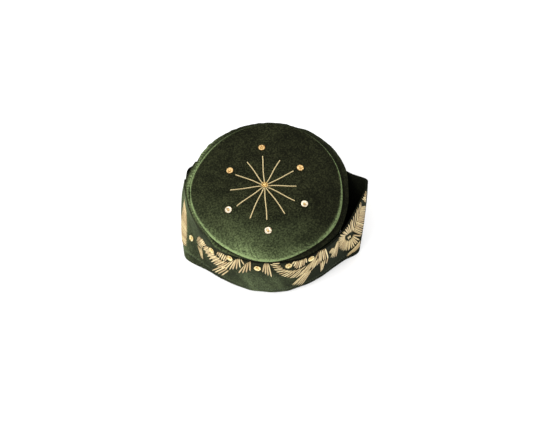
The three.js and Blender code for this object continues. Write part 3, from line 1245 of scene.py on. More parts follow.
    def shades(self, azimuth: Array, height: Array, outer_rows: int) -> tuple[Array, Array]:
        """Painted highlight on the roll, and painted shade in the seam's groove and inside the cuff.

        Args:
            azimuth: Degrees, one for each point.
            height: Metres, one for each point.
            outer_rows: Rows of the outer face, which come first.

        Returns:
            The crush and the shadow values.
        """
        top, low = self.shape.side_top(azimuth), self.shape.side_low(azimuth)
        down = (top - height) / (top - low)
        # Painted highlight on the roll's lit side, and a line of it along a crease lower down.
        crush = self.tip.mark("side", azimuth) * bell(down, self.pale_at, self.pale_width)
        crease = self.crease * bell(down, self.crease_at, self.crease_width)
        crush = crush * (1 + 0.5 * ripple(azimuth, (131, 167, 209), 51))
        groove = 0.5 * bell(down, 0.0, self.groove_width) + 0.7 * smooth((down - 0.75) * 4)
        # Painted shade on the dark side of the roll, from the rim table.
        shadow = groove + 0.8 * self.tip.mark("gloom", azimuth)
        crush[outer_rows:] = 0.0
        shadow[outer_rows:] = 0.3
        return np.clip(crush + crease, 0.0, 1.0), np.clip(shadow, 0.0, 0.9)


@dataclass
class Cuff:
    """The stiff turned-up band: one folded strip with an ear at each side and a stitched hem."""

    shape: CapShape
    along_steps: int = 540
    foot_rings: int = 12
    foot_part: float = 0.2
    body_rings: int = 26
    lip_rings: int = 9
    foot_wave: float = 0.7 * MM
    body_wave: float = 0.15 * MM
    hem_share: float = 0.11
    hem_groove: float = 0.25 * MM
    hem_width: float = 0.012
    foot_round: float = 0.6 * MM
    foot_reach: float = 0.8 * MM
    fold_rise: float = 1.9 * MM
    fold_width_deg: float = 2.6
    # Azimuths and widths of the painted shade at the right and the painted highlight at the left and
    # front.
    dark_side_deg: float = 12.0
    pale_left_azimuth: float = 160.0
    pale_left_deg: float = 38.0
    pale_front_azimuth: float = 262.0
    pale_front_deg: float = 22.0

    def swell(self, azimuth: Array, share: Array) -> Array:
        """How far the cloth stands out from the plain cuff.

        It is a slow wave near the foot that fades by 0.4 of the height, a weaker one over the
        body, both never negative, less a narrow groove along the hem's stitching. The right ear's
        fold stands out by exp(-(degrees from the fold) / width), more towards the lip.

        Args:
            azimuth: Degrees.
            share: Share of the height.

        Returns:
            Metres outwards.
        """
        foot = self.foot_wave * (0.5 + 0.5 * ripple(azimuth, (9, 14, 23), 31)) * smooth(1 - share / 0.4)
        body = self.body_wave * (0.5 + 0.5 * ripple(azimuth + 30 * share, (12, 19), 37))
        groove = self.hem_groove * bell(share, self.hem_share, self.hem_width)
        right = self.shape.ears[0]
        held = np.minimum(share, 1.0)
        turn = np.mod(azimuth - mix(right.foot.azimuth, right.lip.azimuth, held) + 180.0, 360.0) - 180.0
        fold = self.fold_rise * np.exp(-np.abs(turn) / self.fold_width_deg) * held
        return np.maximum(foot, 0.0) + np.maximum(body, 0.0) * smooth(6 - 6 * share) - groove + fold

    def face(self, azimuth: Array, share: Array, lift: Array | float = 0.0) -> Array:
        """Points on the cuff's outer cloth, lifted off it by some metres."""
        return self.shape.cuff_point(azimuth, share, -self.swell(azimuth, share) - lift)

    def build(self, velvet: bpy.types.Material) -> bpy.types.Object:
        """Makes the closed strip: its section runs up the outer face, over the rounded lip and down.

        Args:
            velvet: Finish of the strip.

        Returns:
            The piece.
        """
        shape = self.shape
        half = shape.cuff_wall / 2
        along = np.linspace(0.0, 1.0, self.along_steps + 1)
        turn = np.linspace(0.0, np.pi, self.lip_rings)
        foot_shares = np.linspace(0.0, self.foot_part, self.foot_rings)
        shares = np.concatenate([foot_shares, np.linspace(self.foot_part, 1.0, self.body_rings)[1:]])
        face_rows = [(share, 0.0, 0.0) for share in shares]
        lip_rows = [(1.0, half * (1 - np.cos(t)), half * np.sin(t)) for t in turn[1:-1]]
        inner_rows = [(share, shape.cuff_wall, 0.0) for share in shares[::-2]]
        rows = face_rows + lip_rows + inner_rows
        share_rows = np.array([row[0] for row in rows])[:, None]
        depth_rows = np.array([row[1] for row in rows])[:, None]
        rise_rows = np.array([row[2] for row in rows])[:, None]
        azimuth = shape.strip_azimuth(along[None, :], share_rows)
        lip = shape.lip_height(azimuth)
        held = (share_rows * (lip - half) + rise_rows) / lip
        inwards = np.where(depth_rows < half, 1, -1)
        foot_round = self.foot_round * smooth(1 - held * lip / self.foot_reach) * inwards
        tuck = shape.lap_tuck(azimuth, held)
        outwards = self.swell(azimuth, held) * (1 - 0.6 * depth_rows / shape.cuff_wall)
        strip = shape.cuff_point(azimuth, held, depth_rows + tuck + foot_round - outwards)
        crush, shadow = self.shades(azimuth, held, depth_rows)
        across = np.radians(azimuth) * shape.head_radius
        flat_map = np.stack(np.broadcast_arrays(across, held * lip), axis=-1)
        parts = MeshParts()
        first = parts.add_points(strip, flat_map, crush=crush, shadow=shadow)
        count, columns = strip.shape[:2]
        parts.add_grid(first, count, columns, wrap_rows=True)
        first_end = first + np.arange(count) * columns
        self.close_end(parts, first_end, flip=False)
        self.close_end(parts, first_end + columns - 1, flip=True)
        piece = parts.build("velvet_cuff", (velvet,))
        return fit(piece, "cuff_velvet", "cuff")

    @staticmethod
    def close_end(parts: MeshParts, ring: Array, *, flip: bool) -> None:
        """Closes one cut end of the strip with triangles to the middle of its section.

        Args:
            parts: Where the point and the faces go.
            ring: Indices of the section's points, in their order.
            flip: Turns the triangles over.
        """
        loose = np.concatenate(parts.points)[ring]
        shadow = np.full(1, 0.4)
        middle = parts.add_points(loose.mean(axis=0)[None, :], crush=np.zeros(1), shadow=shadow)
        parts.add_fan(middle, ring, flip=flip)

    def shades(self, azimuth: Array, share: Array, depth: Array) -> tuple[Array, Array]:
        """Painted highlight left, low in front and on the hem; painted shade at the right, lip and inside.

        Args:
            azimuth: Degrees.
            share: Share of the height.
            depth: Metres inwards from the outer face.

        Returns:
            The crush and the shadow values.
        """
        # Painted highlight at the lit left, low in front and along the hem.
        clear_of_wrap = 30.0
        left = bell(np.mod(azimuth + clear_of_wrap, 360.0), self.pale_left_azimuth + clear_of_wrap,
                    self.pale_left_deg)
        front = bell(np.mod(azimuth, 360.0), self.pale_front_azimuth, self.pale_front_deg)
        front = 0.2 * front * smooth(1.4 - 1.5 * share)
        hem = 0.3 * bell(share - self.hem_share, 0.02, self.hem_width)
        waves = 0.8 + 0.3 * ripple(azimuth + 20 * share, (11, 17, 29), 41)
        crush = (0.34 * left + front) * waves + hem * (0.25 + left)
        # Painted shade at the right, on the lip and inside the strip.
        right = smooth((np.cos(np.radians(azimuth + self.dark_side_deg)) - 0.45) * 2.2)
        lip = smooth((share - 0.94) * 16) * (1 - 0.6 * left)
        inside = smooth(depth / self.shape.cuff_wall * 2 - 0.3)
        shadow = 0.8 * right + lip + inside
        return np.clip(crush * (depth < 1e-6), 0.0, 1.0), np.clip(shadow, 0.0, 0.95)


# Gold work


@dataclass(frozen=True)
class StitchRow:
    """A row of stitches on the cuff, each from a root to an end.

    Roots and ends lie on two arcs, each through a first, a middle and a last place, given as the
    azimuth in degrees and the share of the cuff's height.
    """

    name: str
    stitches: int
    roots: tuple[Place, Place, Place]
    ends: tuple[Place, Place, Place]

    def turned(self, degrees: float) -> StitchRow:
        """The same row, further round the cuff.

        Args:
            degrees: How much further.

        Returns:
            The row.
        """
        arcs = (self.roots, self.ends)
        roots, ends = (tuple((azimuth + degrees, share) for azimuth, share in arc) for arc in arcs)
        return replace(self, name=f"{self.name}, again", roots=roots, ends=ends)

    def arc(self, places: tuple[Place, Place, Place], shares: Array) -> Array:
        """Places on the parabola through three places, at shares of its length.

        Args:
            places: First, middle and last place.
            shares: Shares from 0 to 1.

        Returns:
            An azimuth and a share of the height for each.
        """
        first, middle, last = (np.array(place) for place in places)
        t = shares[:, None]
        return first * (1 - t) * (1 - 2 * t) + middle * 4 * t * (1 - t) + last * t * (2 * t - 1)


LEFT_SPRAY: tuple[StitchRow, ...] = (
    StitchRow("left leaf, body", 10, ((-153.3, 0.75), (-150.2, 0.78), (-147.0, 0.79)),
              ((-157.6, 0.58), (-158.2, 0.43), (-152.2, 0.45))),
    StitchRow("left hanging leaf", 4, ((-157.2, 0.42), (-155.2, 0.42), (-152.4, 0.46)),
              ((-151.5, 0.23), (-150.9, 0.21), (-150.5, 0.23))),
    StitchRow("left stem", 16, ((-148.4, 0.82), (-139.0, 0.7), (-126.0, 0.66)),
              ((-153.2, 0.6), (-146.8, 0.5), (-136.5, 0.46))),
    StitchRow("left comb", 8, ((-142.4, 0.76), (-133.0, 0.7), (-124.3, 0.72)),
              ((-149.6, 0.49), (-142.5, 0.36), (-135.2, 0.34))),
    StitchRow("left long barbs", 3, ((-121.3, 0.79), (-118.5, 0.87), (-116.2, 0.94)),
              ((-131.5, 0.38), (-127.8, 0.42), (-123.6, 0.48))),
    StitchRow("left fan", 4, ((-115.4, 0.96), (-114.0, 0.99), (-111.8, 1.0)),
              ((-119.9, 0.55), (-115.2, 0.66), (-109.6, 0.86))),
    StitchRow("left lower leaf", 4, ((-128.0, 0.54), (-126.0, 0.5), (-124.4, 0.44)),
              ((-141.6, 0.09), (-137.0, 0.1), (-131.9, 0.13))),
    StitchRow("left fan, far side", 4, ((-109.0, 0.86), (-106.8, 0.95), (-104.6, 1.0)),
              ((-115.1, 0.5), (-110.0, 0.58), (-105.2, 0.69))),
    StitchRow("left small fan", 6, ((-131.6, 0.88), (-127.3, 0.92), (-123.4, 0.89)),
              ((-133.6, 0.77), (-130.4, 0.71), (-126.8, 0.7))),
)

RIGHT_SPRAY: tuple[StitchRow, ...] = (
    StitchRow("four stitches", 4, ((-93.6, 0.99), (-92.2, 1.0), (-90.8, 0.99)),
              ((-95.1, 0.71), (-92.0, 0.62), (-88.3, 0.56))),
    StitchRow("right feather, barbs", 11, ((-83.3, 0.92), (-74.6, 0.68), (-62.6, 0.63)),
              ((-89.3, 0.98), (-81.0, 0.59), (-68.6, 0.42))),
    StitchRow("right feather, stem", 9, ((-82.4, 1.0), (-75.6, 0.74), (-62.0, 0.73)),
              ((-87.4, 0.99), (-80.6, 0.76), (-69.5, 0.6))),
    StitchRow("right stem, upper barbs", 8, ((-60.2, 0.72), (-56.2, 0.84), (-53.4, 0.99)),
              ((-65.8, 0.46), (-60.2, 0.5), (-55.2, 0.6))),
    StitchRow("right stem, lower barbs", 5, ((-54.5, 0.74), (-52.2, 0.8), (-50.4, 0.86)),
              ((-56.0, 0.48), (-53.2, 0.53), (-50.0, 0.58))),
    StitchRow("right lower leaf", 5, ((-60.5, 0.55), (-58.2, 0.53), (-55.9, 0.51)),
              ((-71.0, 0.19), (-67.4, 0.12), (-63.2, 0.065))),
    StitchRow("right small fan", 8, ((-71.6, 0.99), (-67.0, 0.98), (-63.0, 0.99)),
              ((-73.4, 0.92), (-68.2, 0.73), (-61.7, 0.84))),
    StitchRow("right leaf, upper half", 5, ((-52.6, 1.0), (-50.0, 1.0), (-47.4, 0.98)),
              ((-49.8, 0.62), (-46.4, 0.6), (-41.6, 0.56))),
    StitchRow("right leaf, lower half", 4, ((-48.4, 0.6), (-45.6, 0.6), (-42.4, 0.6)),
              ((-46.6, 0.3), (-45.8, 0.23), (-42.0, 0.4))),
)

EAR_LEAVES: tuple[StitchRow, ...] = (
    StitchRow("lobed leaf, right lobe", 4, ((-35.8, 0.89), (-34.9, 0.89), (-33.9, 0.87)),
              ((-38.4, 0.5), (-35.2, 0.41), (-31.6, 0.34))),
    StitchRow("lobed leaf, left lobe", 3, ((-40.0, 0.82), (-39.1, 0.81), (-38.2, 0.78)),
              ((-41.9, 0.75), (-41.0, 0.71), (-39.6, 0.64))),
    StitchRow("ear leaf, teeth over the eye", 8, ((-24.4, 0.72), (-19.4, 0.63), (-14.6, 0.55)),
              ((-33.4, 1.0), (-27.0, 0.99), (-20.6, 0.99))),
    StitchRow("ear leaf, teeth to the tip", 7, ((-14.2, 0.56), (-10.6, 0.66), (-7.0, 0.8)),
              ((-20.4, 0.99), (-13.8, 1.0), (-8.2, 1.0))),
    StitchRow("ear leaf, tip", 4, ((-3.6, 0.92), (-2.6, 0.94), (-1.4, 0.96)),
              ((-6.2, 1.0), (-3.6, 1.0), (-0.6, 1.0))),
    StitchRow("ear leaf, foot teeth", 7, ((-25.6, 0.75), (-25.0, 0.71), (-24.6, 0.67)),
              ((-34.6, 0.97), (-33.6, 0.82), (-31.8, 0.65))),
    StitchRow("ear leaf, underside", 9, ((-24.2, 0.64), (-21.6, 0.52), (-18.2, 0.42)),
              ((-31.2, 0.61), (-25.2, 0.36), (-18.8, 0.2))),
    StitchRow("ear leaf, underside by the fold", 7, ((-17.6, 0.42), (-16.0, 0.43), (-14.6, 0.46)),
              ((-17.8, 0.19), (-13.4, 0.2), (-9.4, 0.29))),
    StitchRow("ear leaf, fold side", 20, ((-15.0, 0.58), (-10.8, 0.72), (-7.0, 0.86)),
              ((-8.4, 0.29), (-3.9, 0.48), (-0.9, 0.72))),
    StitchRow("ear leaf, past the second eye", 5, ((-3.4, 0.9), (-2.4, 0.94), (-1.2, 0.97)),
              ((-1.4, 0.8), (-0.7, 0.86), (-0.1, 0.92))),
    StitchRow("ear leaf, in the eye", 3, ((-20.4, 0.57), (-19.2, 0.56), (-18.0, 0.54)),
              ((-18.9, 0.49), (-17.9, 0.48), (-16.9, 0.47))),
    StitchRow("ear lower leaf", 4, ((-10.4, 0.215), (-10.5, 0.18), (-10.8, 0.14)),
              ((-20.4, 0.1), (-20.0, 0.08), (-16.6, 0.085))),
    StitchRow("left ear leaf", 24, ((-175.4, 0.7), (-170.4, 0.46), (-165.2, 0.2)),
              ((-181.5, 0.8), (-178.6, 0.5), (-172.0, 0.2))),
)

FRONT_TO_BACK_DEG = 160.0
SPRAY_SPACING_DEG = 248.0


@dataclass
class SatinStitches:
    """Flat raised bundles of thread, swept along short paths on a surface."""

    height: float = 0.75 * MM
    sink: float = 0.25 * MM
    narrowest: float = 0.8 * MM
    widest: float = 2.1 * MM
    end_share: float = 0.3
    sections: int = 8
    sides: int = 8
    seed: int = 7

    def sweep(self, parts: MeshParts, spine: Array, normal: Array, half_width: Array, shade: Array,
              height: float | None = None) -> None:
        """Adds one closed flattened tube for each spine.

        At angle p round the section a point is spine + across * width cos p + normal * height
        sin p, with both shrunk to the end share at the two ends, which dip into the cloth.

        Args:
            parts: Where the points and faces go.
            spine: Points on the cloth, stitches by sections.
            normal: The cloth's facing at each.
            half_width: Half of the bundle's width at each.
            shade: One number for each stitch, between its painted shade and painted glint.
            height: How far the bundle stands out, if not the usual.
        """
        rise = self.height if height is None else height
        count, sections = spine.shape[:2]
        t = np.linspace(0.0, 1.0, sections)
        bulge = np.sqrt(np.clip(1 - np.abs(2 * t - 1) ** 5, 0.0, 1.0))
        full = mix(self.end_share, 1.0, bulge)
        lift = rise * full - self.sink - (1 - full) * self.sink
        tangent = unit(np.gradient(spine, axis=1))
        across = unit(np.cross(normal, tangent))
        angle = even_turns(self.sides) + np.pi / self.sides
        width = (half_width * full)[..., None, None] * np.cos(angle)[:, None]
        up = (rise * full * 0.9)[None, :, None, None] * np.sin(angle)[:, None]
        middle = spine + normal * (lift * 0.3)[None, :, None]
        points = middle[:, :, None, :] + across[:, :, None, :] * width + normal[:, :, None, :] * up
        length = np.linalg.norm(spine[:, -1] - spine[:, 0], axis=-1)
        flat_map = np.empty((count, sections, self.sides, 2))
        flat_map[..., 0] = t[None, :, None] * length[:, None, None]
        flat_map[..., 1] = np.cos(angle)[None, None, :]
        first = parts.add_points(points, flat_map, shade=shade[:, None, None])
        self.tube_faces(parts, first, count, sections)

    def tube_faces(self, parts: MeshParts, first: int, count: int, sections: int) -> None:
        """Adds the faces of equal closed tubes: quads along the sides and two end caps.

        Args:
            parts: Where the faces go.
            first: Index of the first tube's first point.
            count: Tubes.
            sections: Sections along each.
        """
        sides = self.sides
        tube = np.arange(count)[:, None, None] * sections * sides
        row = np.arange(sections - 1)[None, :, None] * sides
        side = np.arange(sides)[None, None, :]
        after = (side + 1) % sides
        here = tube + row
        corners = [here + side, here + after, here + sides + after, here + sides + side]
        parts.add_faces(first + np.stack(np.broadcast_arrays(*corners), axis=-1).reshape(-1, 4))
        start = first + tube[:, 0] + np.arange(sides)[::-1]
        end = first + tube[:, 0] + (sections - 1) * sides + np.arange(sides)
        parts.add_faces(start.reshape(-1, sides))
        parts.add_faces(end.reshape(-1, sides))


@dataclass
class LeafSprays:
    """The leaf sprays on the cuff in gold satin stitch.

    A cover is a stitch's width in steps between the stitches. Unevenness and probe are each a pair
    of degrees and a share of the cuff's height.
    """

    cuff: Cuff
    stitch: SatinStitches = field(default_factory=SatinStitches)
    root_cover: float = 1.1
    end_cover: float = 0.66
    unevenness: Place = (0.22, 0.006)
    probe: Place = (0.4, 0.01)

    def rows(self) -> list[StitchRow]:
        """The rows that show in front, then the plain repeat round the back.

        Returns:
            The rows.
        """
        front = [*LEFT_SPRAY, *RIGHT_SPRAY, *EAR_LEAVES]
        plain = (*LEFT_SPRAY[2:], *RIGHT_SPRAY[:3], *RIGHT_SPRAY[6:7])
        back = [row.turned(FRONT_TO_BACK_DEG) for row in plain]
        return front + back + [row.turned(SPRAY_SPACING_DEG) for row in LEFT_SPRAY[2:]]

    def facing(self, azimuth: Array, share: Array) -> Array:
        """The outward facing of the cuff's cloth, from its two slopes.

        Args:
            azimuth: Degrees.
            share: Share of the cuff's height.

        Returns:
            Vectors of length one.
        """
        here = self.cuff.face(azimuth, share)
        along = self.cuff.face(azimuth + self.probe[0], share) - here
        up = self.cuff.face(azimuth, share + self.probe[1]) - here
        return unit(np.cross(along, up))

    def add_row(self, parts: MeshParts, row: StitchRow, rng: np.random.Generator) -> None:
        """Adds one row of stitches, each a little uneven, as wide as its share of the row.

        Args:
            parts: Where the stitches go.
            row: The row.
            rng: Source of the unevenness.
        """
        shares = np.linspace(0.0, 1.0, row.stitches)
        roots = row.arc(row.roots, shares)
        ends = row.arc(row.ends, shares)
        ends = ends + rng.normal(0, 1, ends.shape) * np.array(self.unevenness)
        t = np.linspace(0.0, 1.0, self.stitch.sections)[None, :]
        azimuth = mix(roots[:, :1], ends[:, :1], t)
        share = mix(roots[:, 1:], ends[:, 1:], t)
        spine = self.cuff.face(azimuth, share)
        normal = self.facing(azimuth, share)
        tangent = unit(np.gradient(spine, axis=1))
        step = np.gradient(spine, axis=0)
        spacing = np.linalg.norm(step - tangent * np.sum(step * tangent, axis=-1, keepdims=True), axis=-1)
        cover = mix(self.root_cover, self.end_cover, t)
        width = np.clip(spacing * cover, self.stitch.narrowest, self.stitch.widest)
        # Where each stitch lies between painted shade and painted glint.
        shade = rng.uniform(0.0, 1.0, row.stitches)
        self.stitch.sweep(parts, spine, normal, width / 2, shade)

    def build(self, thread: bpy.types.Material) -> bpy.types.Object:
        """Makes every row as one piece in gold thread.

        Args:
            thread: Its finish.

        Returns:
            The piece.
        """
        parts = MeshParts()
        rng = np.random.default_rng(self.stitch.seed)
        for row in self.rows():
            self.add_row(parts, row, rng)
        return fit(parts.build("leaf_sprays", (thread,)), "gold_bead")


@dataclass
class HemStitching:
    """A line of small running stitches round the cuff's hem.

    Lead and fill are shares of a stitch's step, the first and the last share are of the strip.
    """

    cuff: Cuff
    stitches: int = 190
    lead: float = 0.1
    fill: float = 0.62
    first_share: float = 0.005
    last_share: float = 0.93
    half_width: float = 0.28 * MM
    lift: float = 0.1 * MM
    seed: int = 17

    def build(self, thread: bpy.types.Material) -> bpy.types.Object:
        """Makes the line: each stitch spans a part of its step along the strip at the hem's height.

        Args:
            thread: Its finish.

        Returns:
            The piece.
        """
        shape = self.cuff.shape
        stitch = SatinStitches(height=0.3 * MM, sink=self.lift, sections=5, sides=6)
        start = np.arange(self.stitches)[:, None] / self.stitches
        within = np.linspace(self.lead, self.lead + self.fill, stitch.sections)[None, :]
        along = mix(self.first_share, self.last_share, start + within / self.stitches)
        share = np.full_like(along, self.cuff.hem_share)
        azimuth = shape.strip_azimuth(along, share)
        spine = self.cuff.face(azimuth, share, self.lift)
        normal = LeafSprays(self.cuff).facing(azimuth, share)
        parts = MeshParts()
        # Where each stitch lies between painted shade and painted glint.
        shade = np.random.default_rng(self.seed).uniform(0, 1, self.stitches)
        stitch.sweep(parts, spine, normal, np.full(spine.shape[:2], self.half_width), shade)
        return fit(parts.build("hem_stitching", (thread,)), "cuff_velvet")


@dataclass(frozen=True)
class StarRay:
    """One ray of the star: its azimuth in degrees and its length in star ring radii."""

    azimuth: float
    reach: float


@dataclass
class StarCords:
    """The twelve rays of twisted gold cord, couched on the tip round the star's middle.

    The lift, the winding and the strand share are shares of the cord's radius.
    """

    tip: CrownTip
    middle: Place
    ring_radius: float = 51 * MM
    cord_radius: float = 0.76 * MM
    start: float = 2.0 * MM
    lay: float = 2.6 * MM
    wobble: float = 0.38 * MM
    wobble_step: float = 6.5 * MM
    lift_share: float = 0.85
    winding_share: float = 0.46
    strand_share: float = 0.56
    # Where the cord lies between painted shade and painted glint.
    shade: float = 0.7
    sections: int = 130
    sides: int = 8
    rays: tuple[StarRay, ...] = (
        StarRay(1, 0.71), StarRay(31, 0.77), StarRay(63, 0.775), StarRay(94, 0.81),
        StarRay(122, 0.765), StarRay(154, 0.737), StarRay(186, 0.778), StarRay(218, 0.776),
        StarRay(247, 0.831), StarRay(273, 0.806), StarRay(304, 0.792), StarRay(332, 0.751),
    )

    def on_tip(self, flat: Array) -> Array:
        """Points on the tip's cloth over flat places.

        Args:
            flat: Places whose last axis is x, y.

        Returns:
            The points.
        """
        centre = np.array(self.tip.shape.centre)
        loose = flat - centre
        azimuth = np.degrees(np.arctan2(loose[..., 1], loose[..., 0]))
        q = np.linalg.norm(loose, axis=-1) / self.tip.shape.rim_radius(azimuth)
        return self.tip.top(azimuth, q)

    def add_ray(self, parts: MeshParts, ray: StarRay, phase: float) -> None:
        """Adds one ray of two strands that wind round each other.

        The cord's middle runs straight out over the cloth with a slight wave. A strand's middle
        turns about it at nearly half the cord's radius, once in each lay.

        Args:
            parts: Where the strands go.
            ray: The ray.
            phase: Where its twist and wave start, in radians.
        """
        out = np.linspace(self.start, self.ring_radius * ray.reach, self.sections)
        turn = np.radians(ray.azimuth)
        forward = np.array([np.cos(turn), np.sin(turn)])
        aside = np.array([-forward[1], forward[0]])
        sway = self.wobble * np.sin(out / self.wobble_step + phase) * smooth(out / (10 * MM))
        flat = np.array(self.middle) + out[:, None] * forward + sway[:, None] * aside
        middle = self.on_tip(flat)
        middle[:, 2] += self.lift_share * self.cord_radius
        along = unit(np.gradient(middle, axis=0))
        across = unit(np.cross(np.array([0.0, 0.0, 1.0]), along))
        up = np.cross(along, across)
        from_end = np.minimum(out - self.start + 0.3 * MM, out[-1] - out + 0.25 * MM)
        shrink = np.sqrt(np.clip(from_end / (0.8 * MM), 0.15, 1))
        strand = self.strand_share * self.cord_radius * shrink
        spin = out / self.lay * 2 * np.pi + phase
        angle = even_turns(self.sides)
        ring = across[:, None, :] * np.cos(angle)[:, None] + up[:, None, :] * np.sin(angle)[:, None]
        for half in (0.0, np.pi):
            winding = across * np.cos(spin + half)[:, None] + up * np.sin(spin + half)[:, None]
            core = middle + self.winding_share * self.cord_radius * winding
            points = core[:, None, :] + ring * strand[:, None, None]
            flat_map = np.stack(np.broadcast_arrays(out[:, None], np.cos(angle)[None, :]), axis=-1)
            first = parts.add_points(points[None], flat_map, shade=np.full(1, self.shade))
            SatinStitches(sides=self.sides).tube_faces(parts, first, 1, self.sections)

    def build(self, thread: bpy.types.Material) -> bpy.types.Object:
        """Makes the twelve rays as one piece.

        Args:
            thread: Its finish.

        Returns:
            The piece.
        """
        parts = MeshParts()
        for index, ray in enumerate(self.rays):
            self.add_ray(parts, ray, 1.7 * index)
        return fit(parts.build("star_cords", (thread,)), "gold_bead")


@dataclass(frozen=True)
class Seat:
    """Where a round trim lies: its middle, and the way that it faces."""

    middle: Array
    facing: Array

    @staticmethod
    def of_node(frame: dict, node: str, outwards_from: Array) -> Seat:
        """Reads a packed round piece: the mean of its points and the axis in which it is thinnest.

        Args:
            node: The piece's node.
            outwards_from: A point on the cloth's hidden side.

        Returns:
            The seat, facing away from that point.
        """
        loose = np.array([vertex.co for vertex in frame["nodes"][node].data.vertices])
        points = np.unique(loose.round(7), axis=0)
        middle = (points.max(axis=0) + points.min(axis=0)) / 2
        middle = mix(middle, points.mean(axis=0), 0.5)
        axes = np.linalg.svd(points - points.mean(axis=0), full_matrices=False)[2]
        facing = axes[2]
        return Seat(middle, facing if np.dot(facing, middle - outwards_from) > 0 else -facing)

    def turned(self, profile: Array, sides: int, scallop: Array | None = None) -> Array:
        """A profile turned round the seat's axis.

        Args:
            profile: Rows of radius and height above the middle.
            sides: Points round each ring.
            scallop: A factor for each side's radius.

        Returns:
            Points, rings by sides.
        """
        slant = np.array([0.31, 0.17, 0.93])
        aside = unit(np.cross(self.facing, slant))
        ahead = np.cross(self.facing, aside)
        angle = even_turns(sides)
        ring = aside * np.cos(angle)[:, None] + ahead * np.sin(angle)[:, None]
        if scallop is not None:
            ring = ring * scallop[:, None]
        radius = profile[:, 0][:, None, None]
        return self.middle + ring[None] * radius + self.facing * profile[:, 1][:, None, None]

    def add_closed(self, parts: MeshParts, profile: Array, sides: int, poles: tuple[float, float], *,
                   scallop: Array | None = None, finish: int = 0) -> None:
        """Adds a turned profile that is closed with a fan at each end.

        Args:
            parts: Where the points and faces go.
            profile: Rows of radius and height above the middle, from the top down.
            sides: Points round each ring.
            poles: Heights of the top fan's middle and of the bottom fan's.
            scallop: A factor for each side's radius.
            finish: Index of the material.
        """
        first = parts.add_points(self.turned(profile, sides, scallop))
        parts.add_grid(first, len(profile), sides, wrap_columns=True, finish=finish)
        top = parts.add_points((self.middle + self.facing * poles[0])[None])
        bottom = parts.add_points((self.middle + self.facing * poles[1])[None])
        ring = first + np.arange(sides)
        parts.add_fan(top, ring, flip=True, finish=finish)
        parts.add_fan(bottom, ring + (len(profile) - 1) * sides, flip=False, finish=finish)


@dataclass
class CupSequin:
    """A cupped sequin with flat facets, held by a small bead in its middle.

    Facet cut is how flat the facets are, from 0 to 1, and the sinks are shares of the cup.
    """

    radius: float = 4.0 * MM
    hole: float = 0.8 * MM
    cup: float = 0.9 * MM
    thickness: float = 0.35 * MM
    facets: int = 12
    facet_cut: float = 0.8
    disc_sink: float = 0.62
    bead_sink: float = 0.5
    bead_radius: float = 1.15 * MM
    bead_squash: float = 0.8
    bead_sides: int = 12
    bead_rings: int = 9

    def build(self, name: str, node: str, seat: Seat, gloss: bpy.types.Material,
              gilt: bpy.types.Material) -> bpy.types.Object:
        """Makes one sequin in place of its plain disc.

        The disc's section runs from the hole out over the upper face, with a turned lip, and back
        underneath. The bead is a ball of rings whose radius is sin of the angle from its pole.

        Args:
            name: The piece's name.
            node: The node that it stands for.
            seat: Where it lies.
            gloss: Finish of the disc.
            gilt: Finish of the bead.

        Returns:
            The piece.
        """
        reach = np.array([0.0, 0.3, 0.55, 0.8, 0.94, 1.0, 1.0, 0.94, 0.8, 0.5, 0.0])
        upper = np.array([1, 1, 1, 1, 1.05, 0.7, 0.1, 0, 0, 0, 0])
        radii = mix(self.hole, self.radius, reach)
        base = self.cup * reach**1.2 - self.cup * self.disc_sink
        profile = np.stack([radii, base + self.thickness * upper], axis=-1)
        sides = 3 * self.facets
        half_facet = np.pi / self.facets
        corner = np.cos(half_facet) / np.cos(np.mod(even_turns(sides), 2 * half_facet) - half_facet)
        disc = seat.turned(profile, sides, mix(1.0, corner, self.facet_cut))
        parts = MeshParts()
        flat_map = np.stack(np.broadcast_arrays(reach[:, None], np.zeros((1, sides))), axis=-1)
        first = parts.add_points(disc, flat_map)
        parts.add_grid(first, len(profile), sides, wrap_rows=True, wrap_columns=True)
        angle = np.linspace(0, np.pi, self.bead_rings)[1:-1]
        lift = self.bead_radius * 0.45 - self.cup * self.bead_sink
        half_height = self.bead_squash * self.bead_radius
        ball = np.stack([self.bead_radius * np.sin(angle), lift + half_height * np.cos(angle)], axis=-1)
        poles = (lift + half_height, lift - half_height)
        seat.add_closed(parts, ball, self.bead_sides, poles, finish=1)
        return fit(parts.build(name, (gloss, gilt)), "sequin", node)


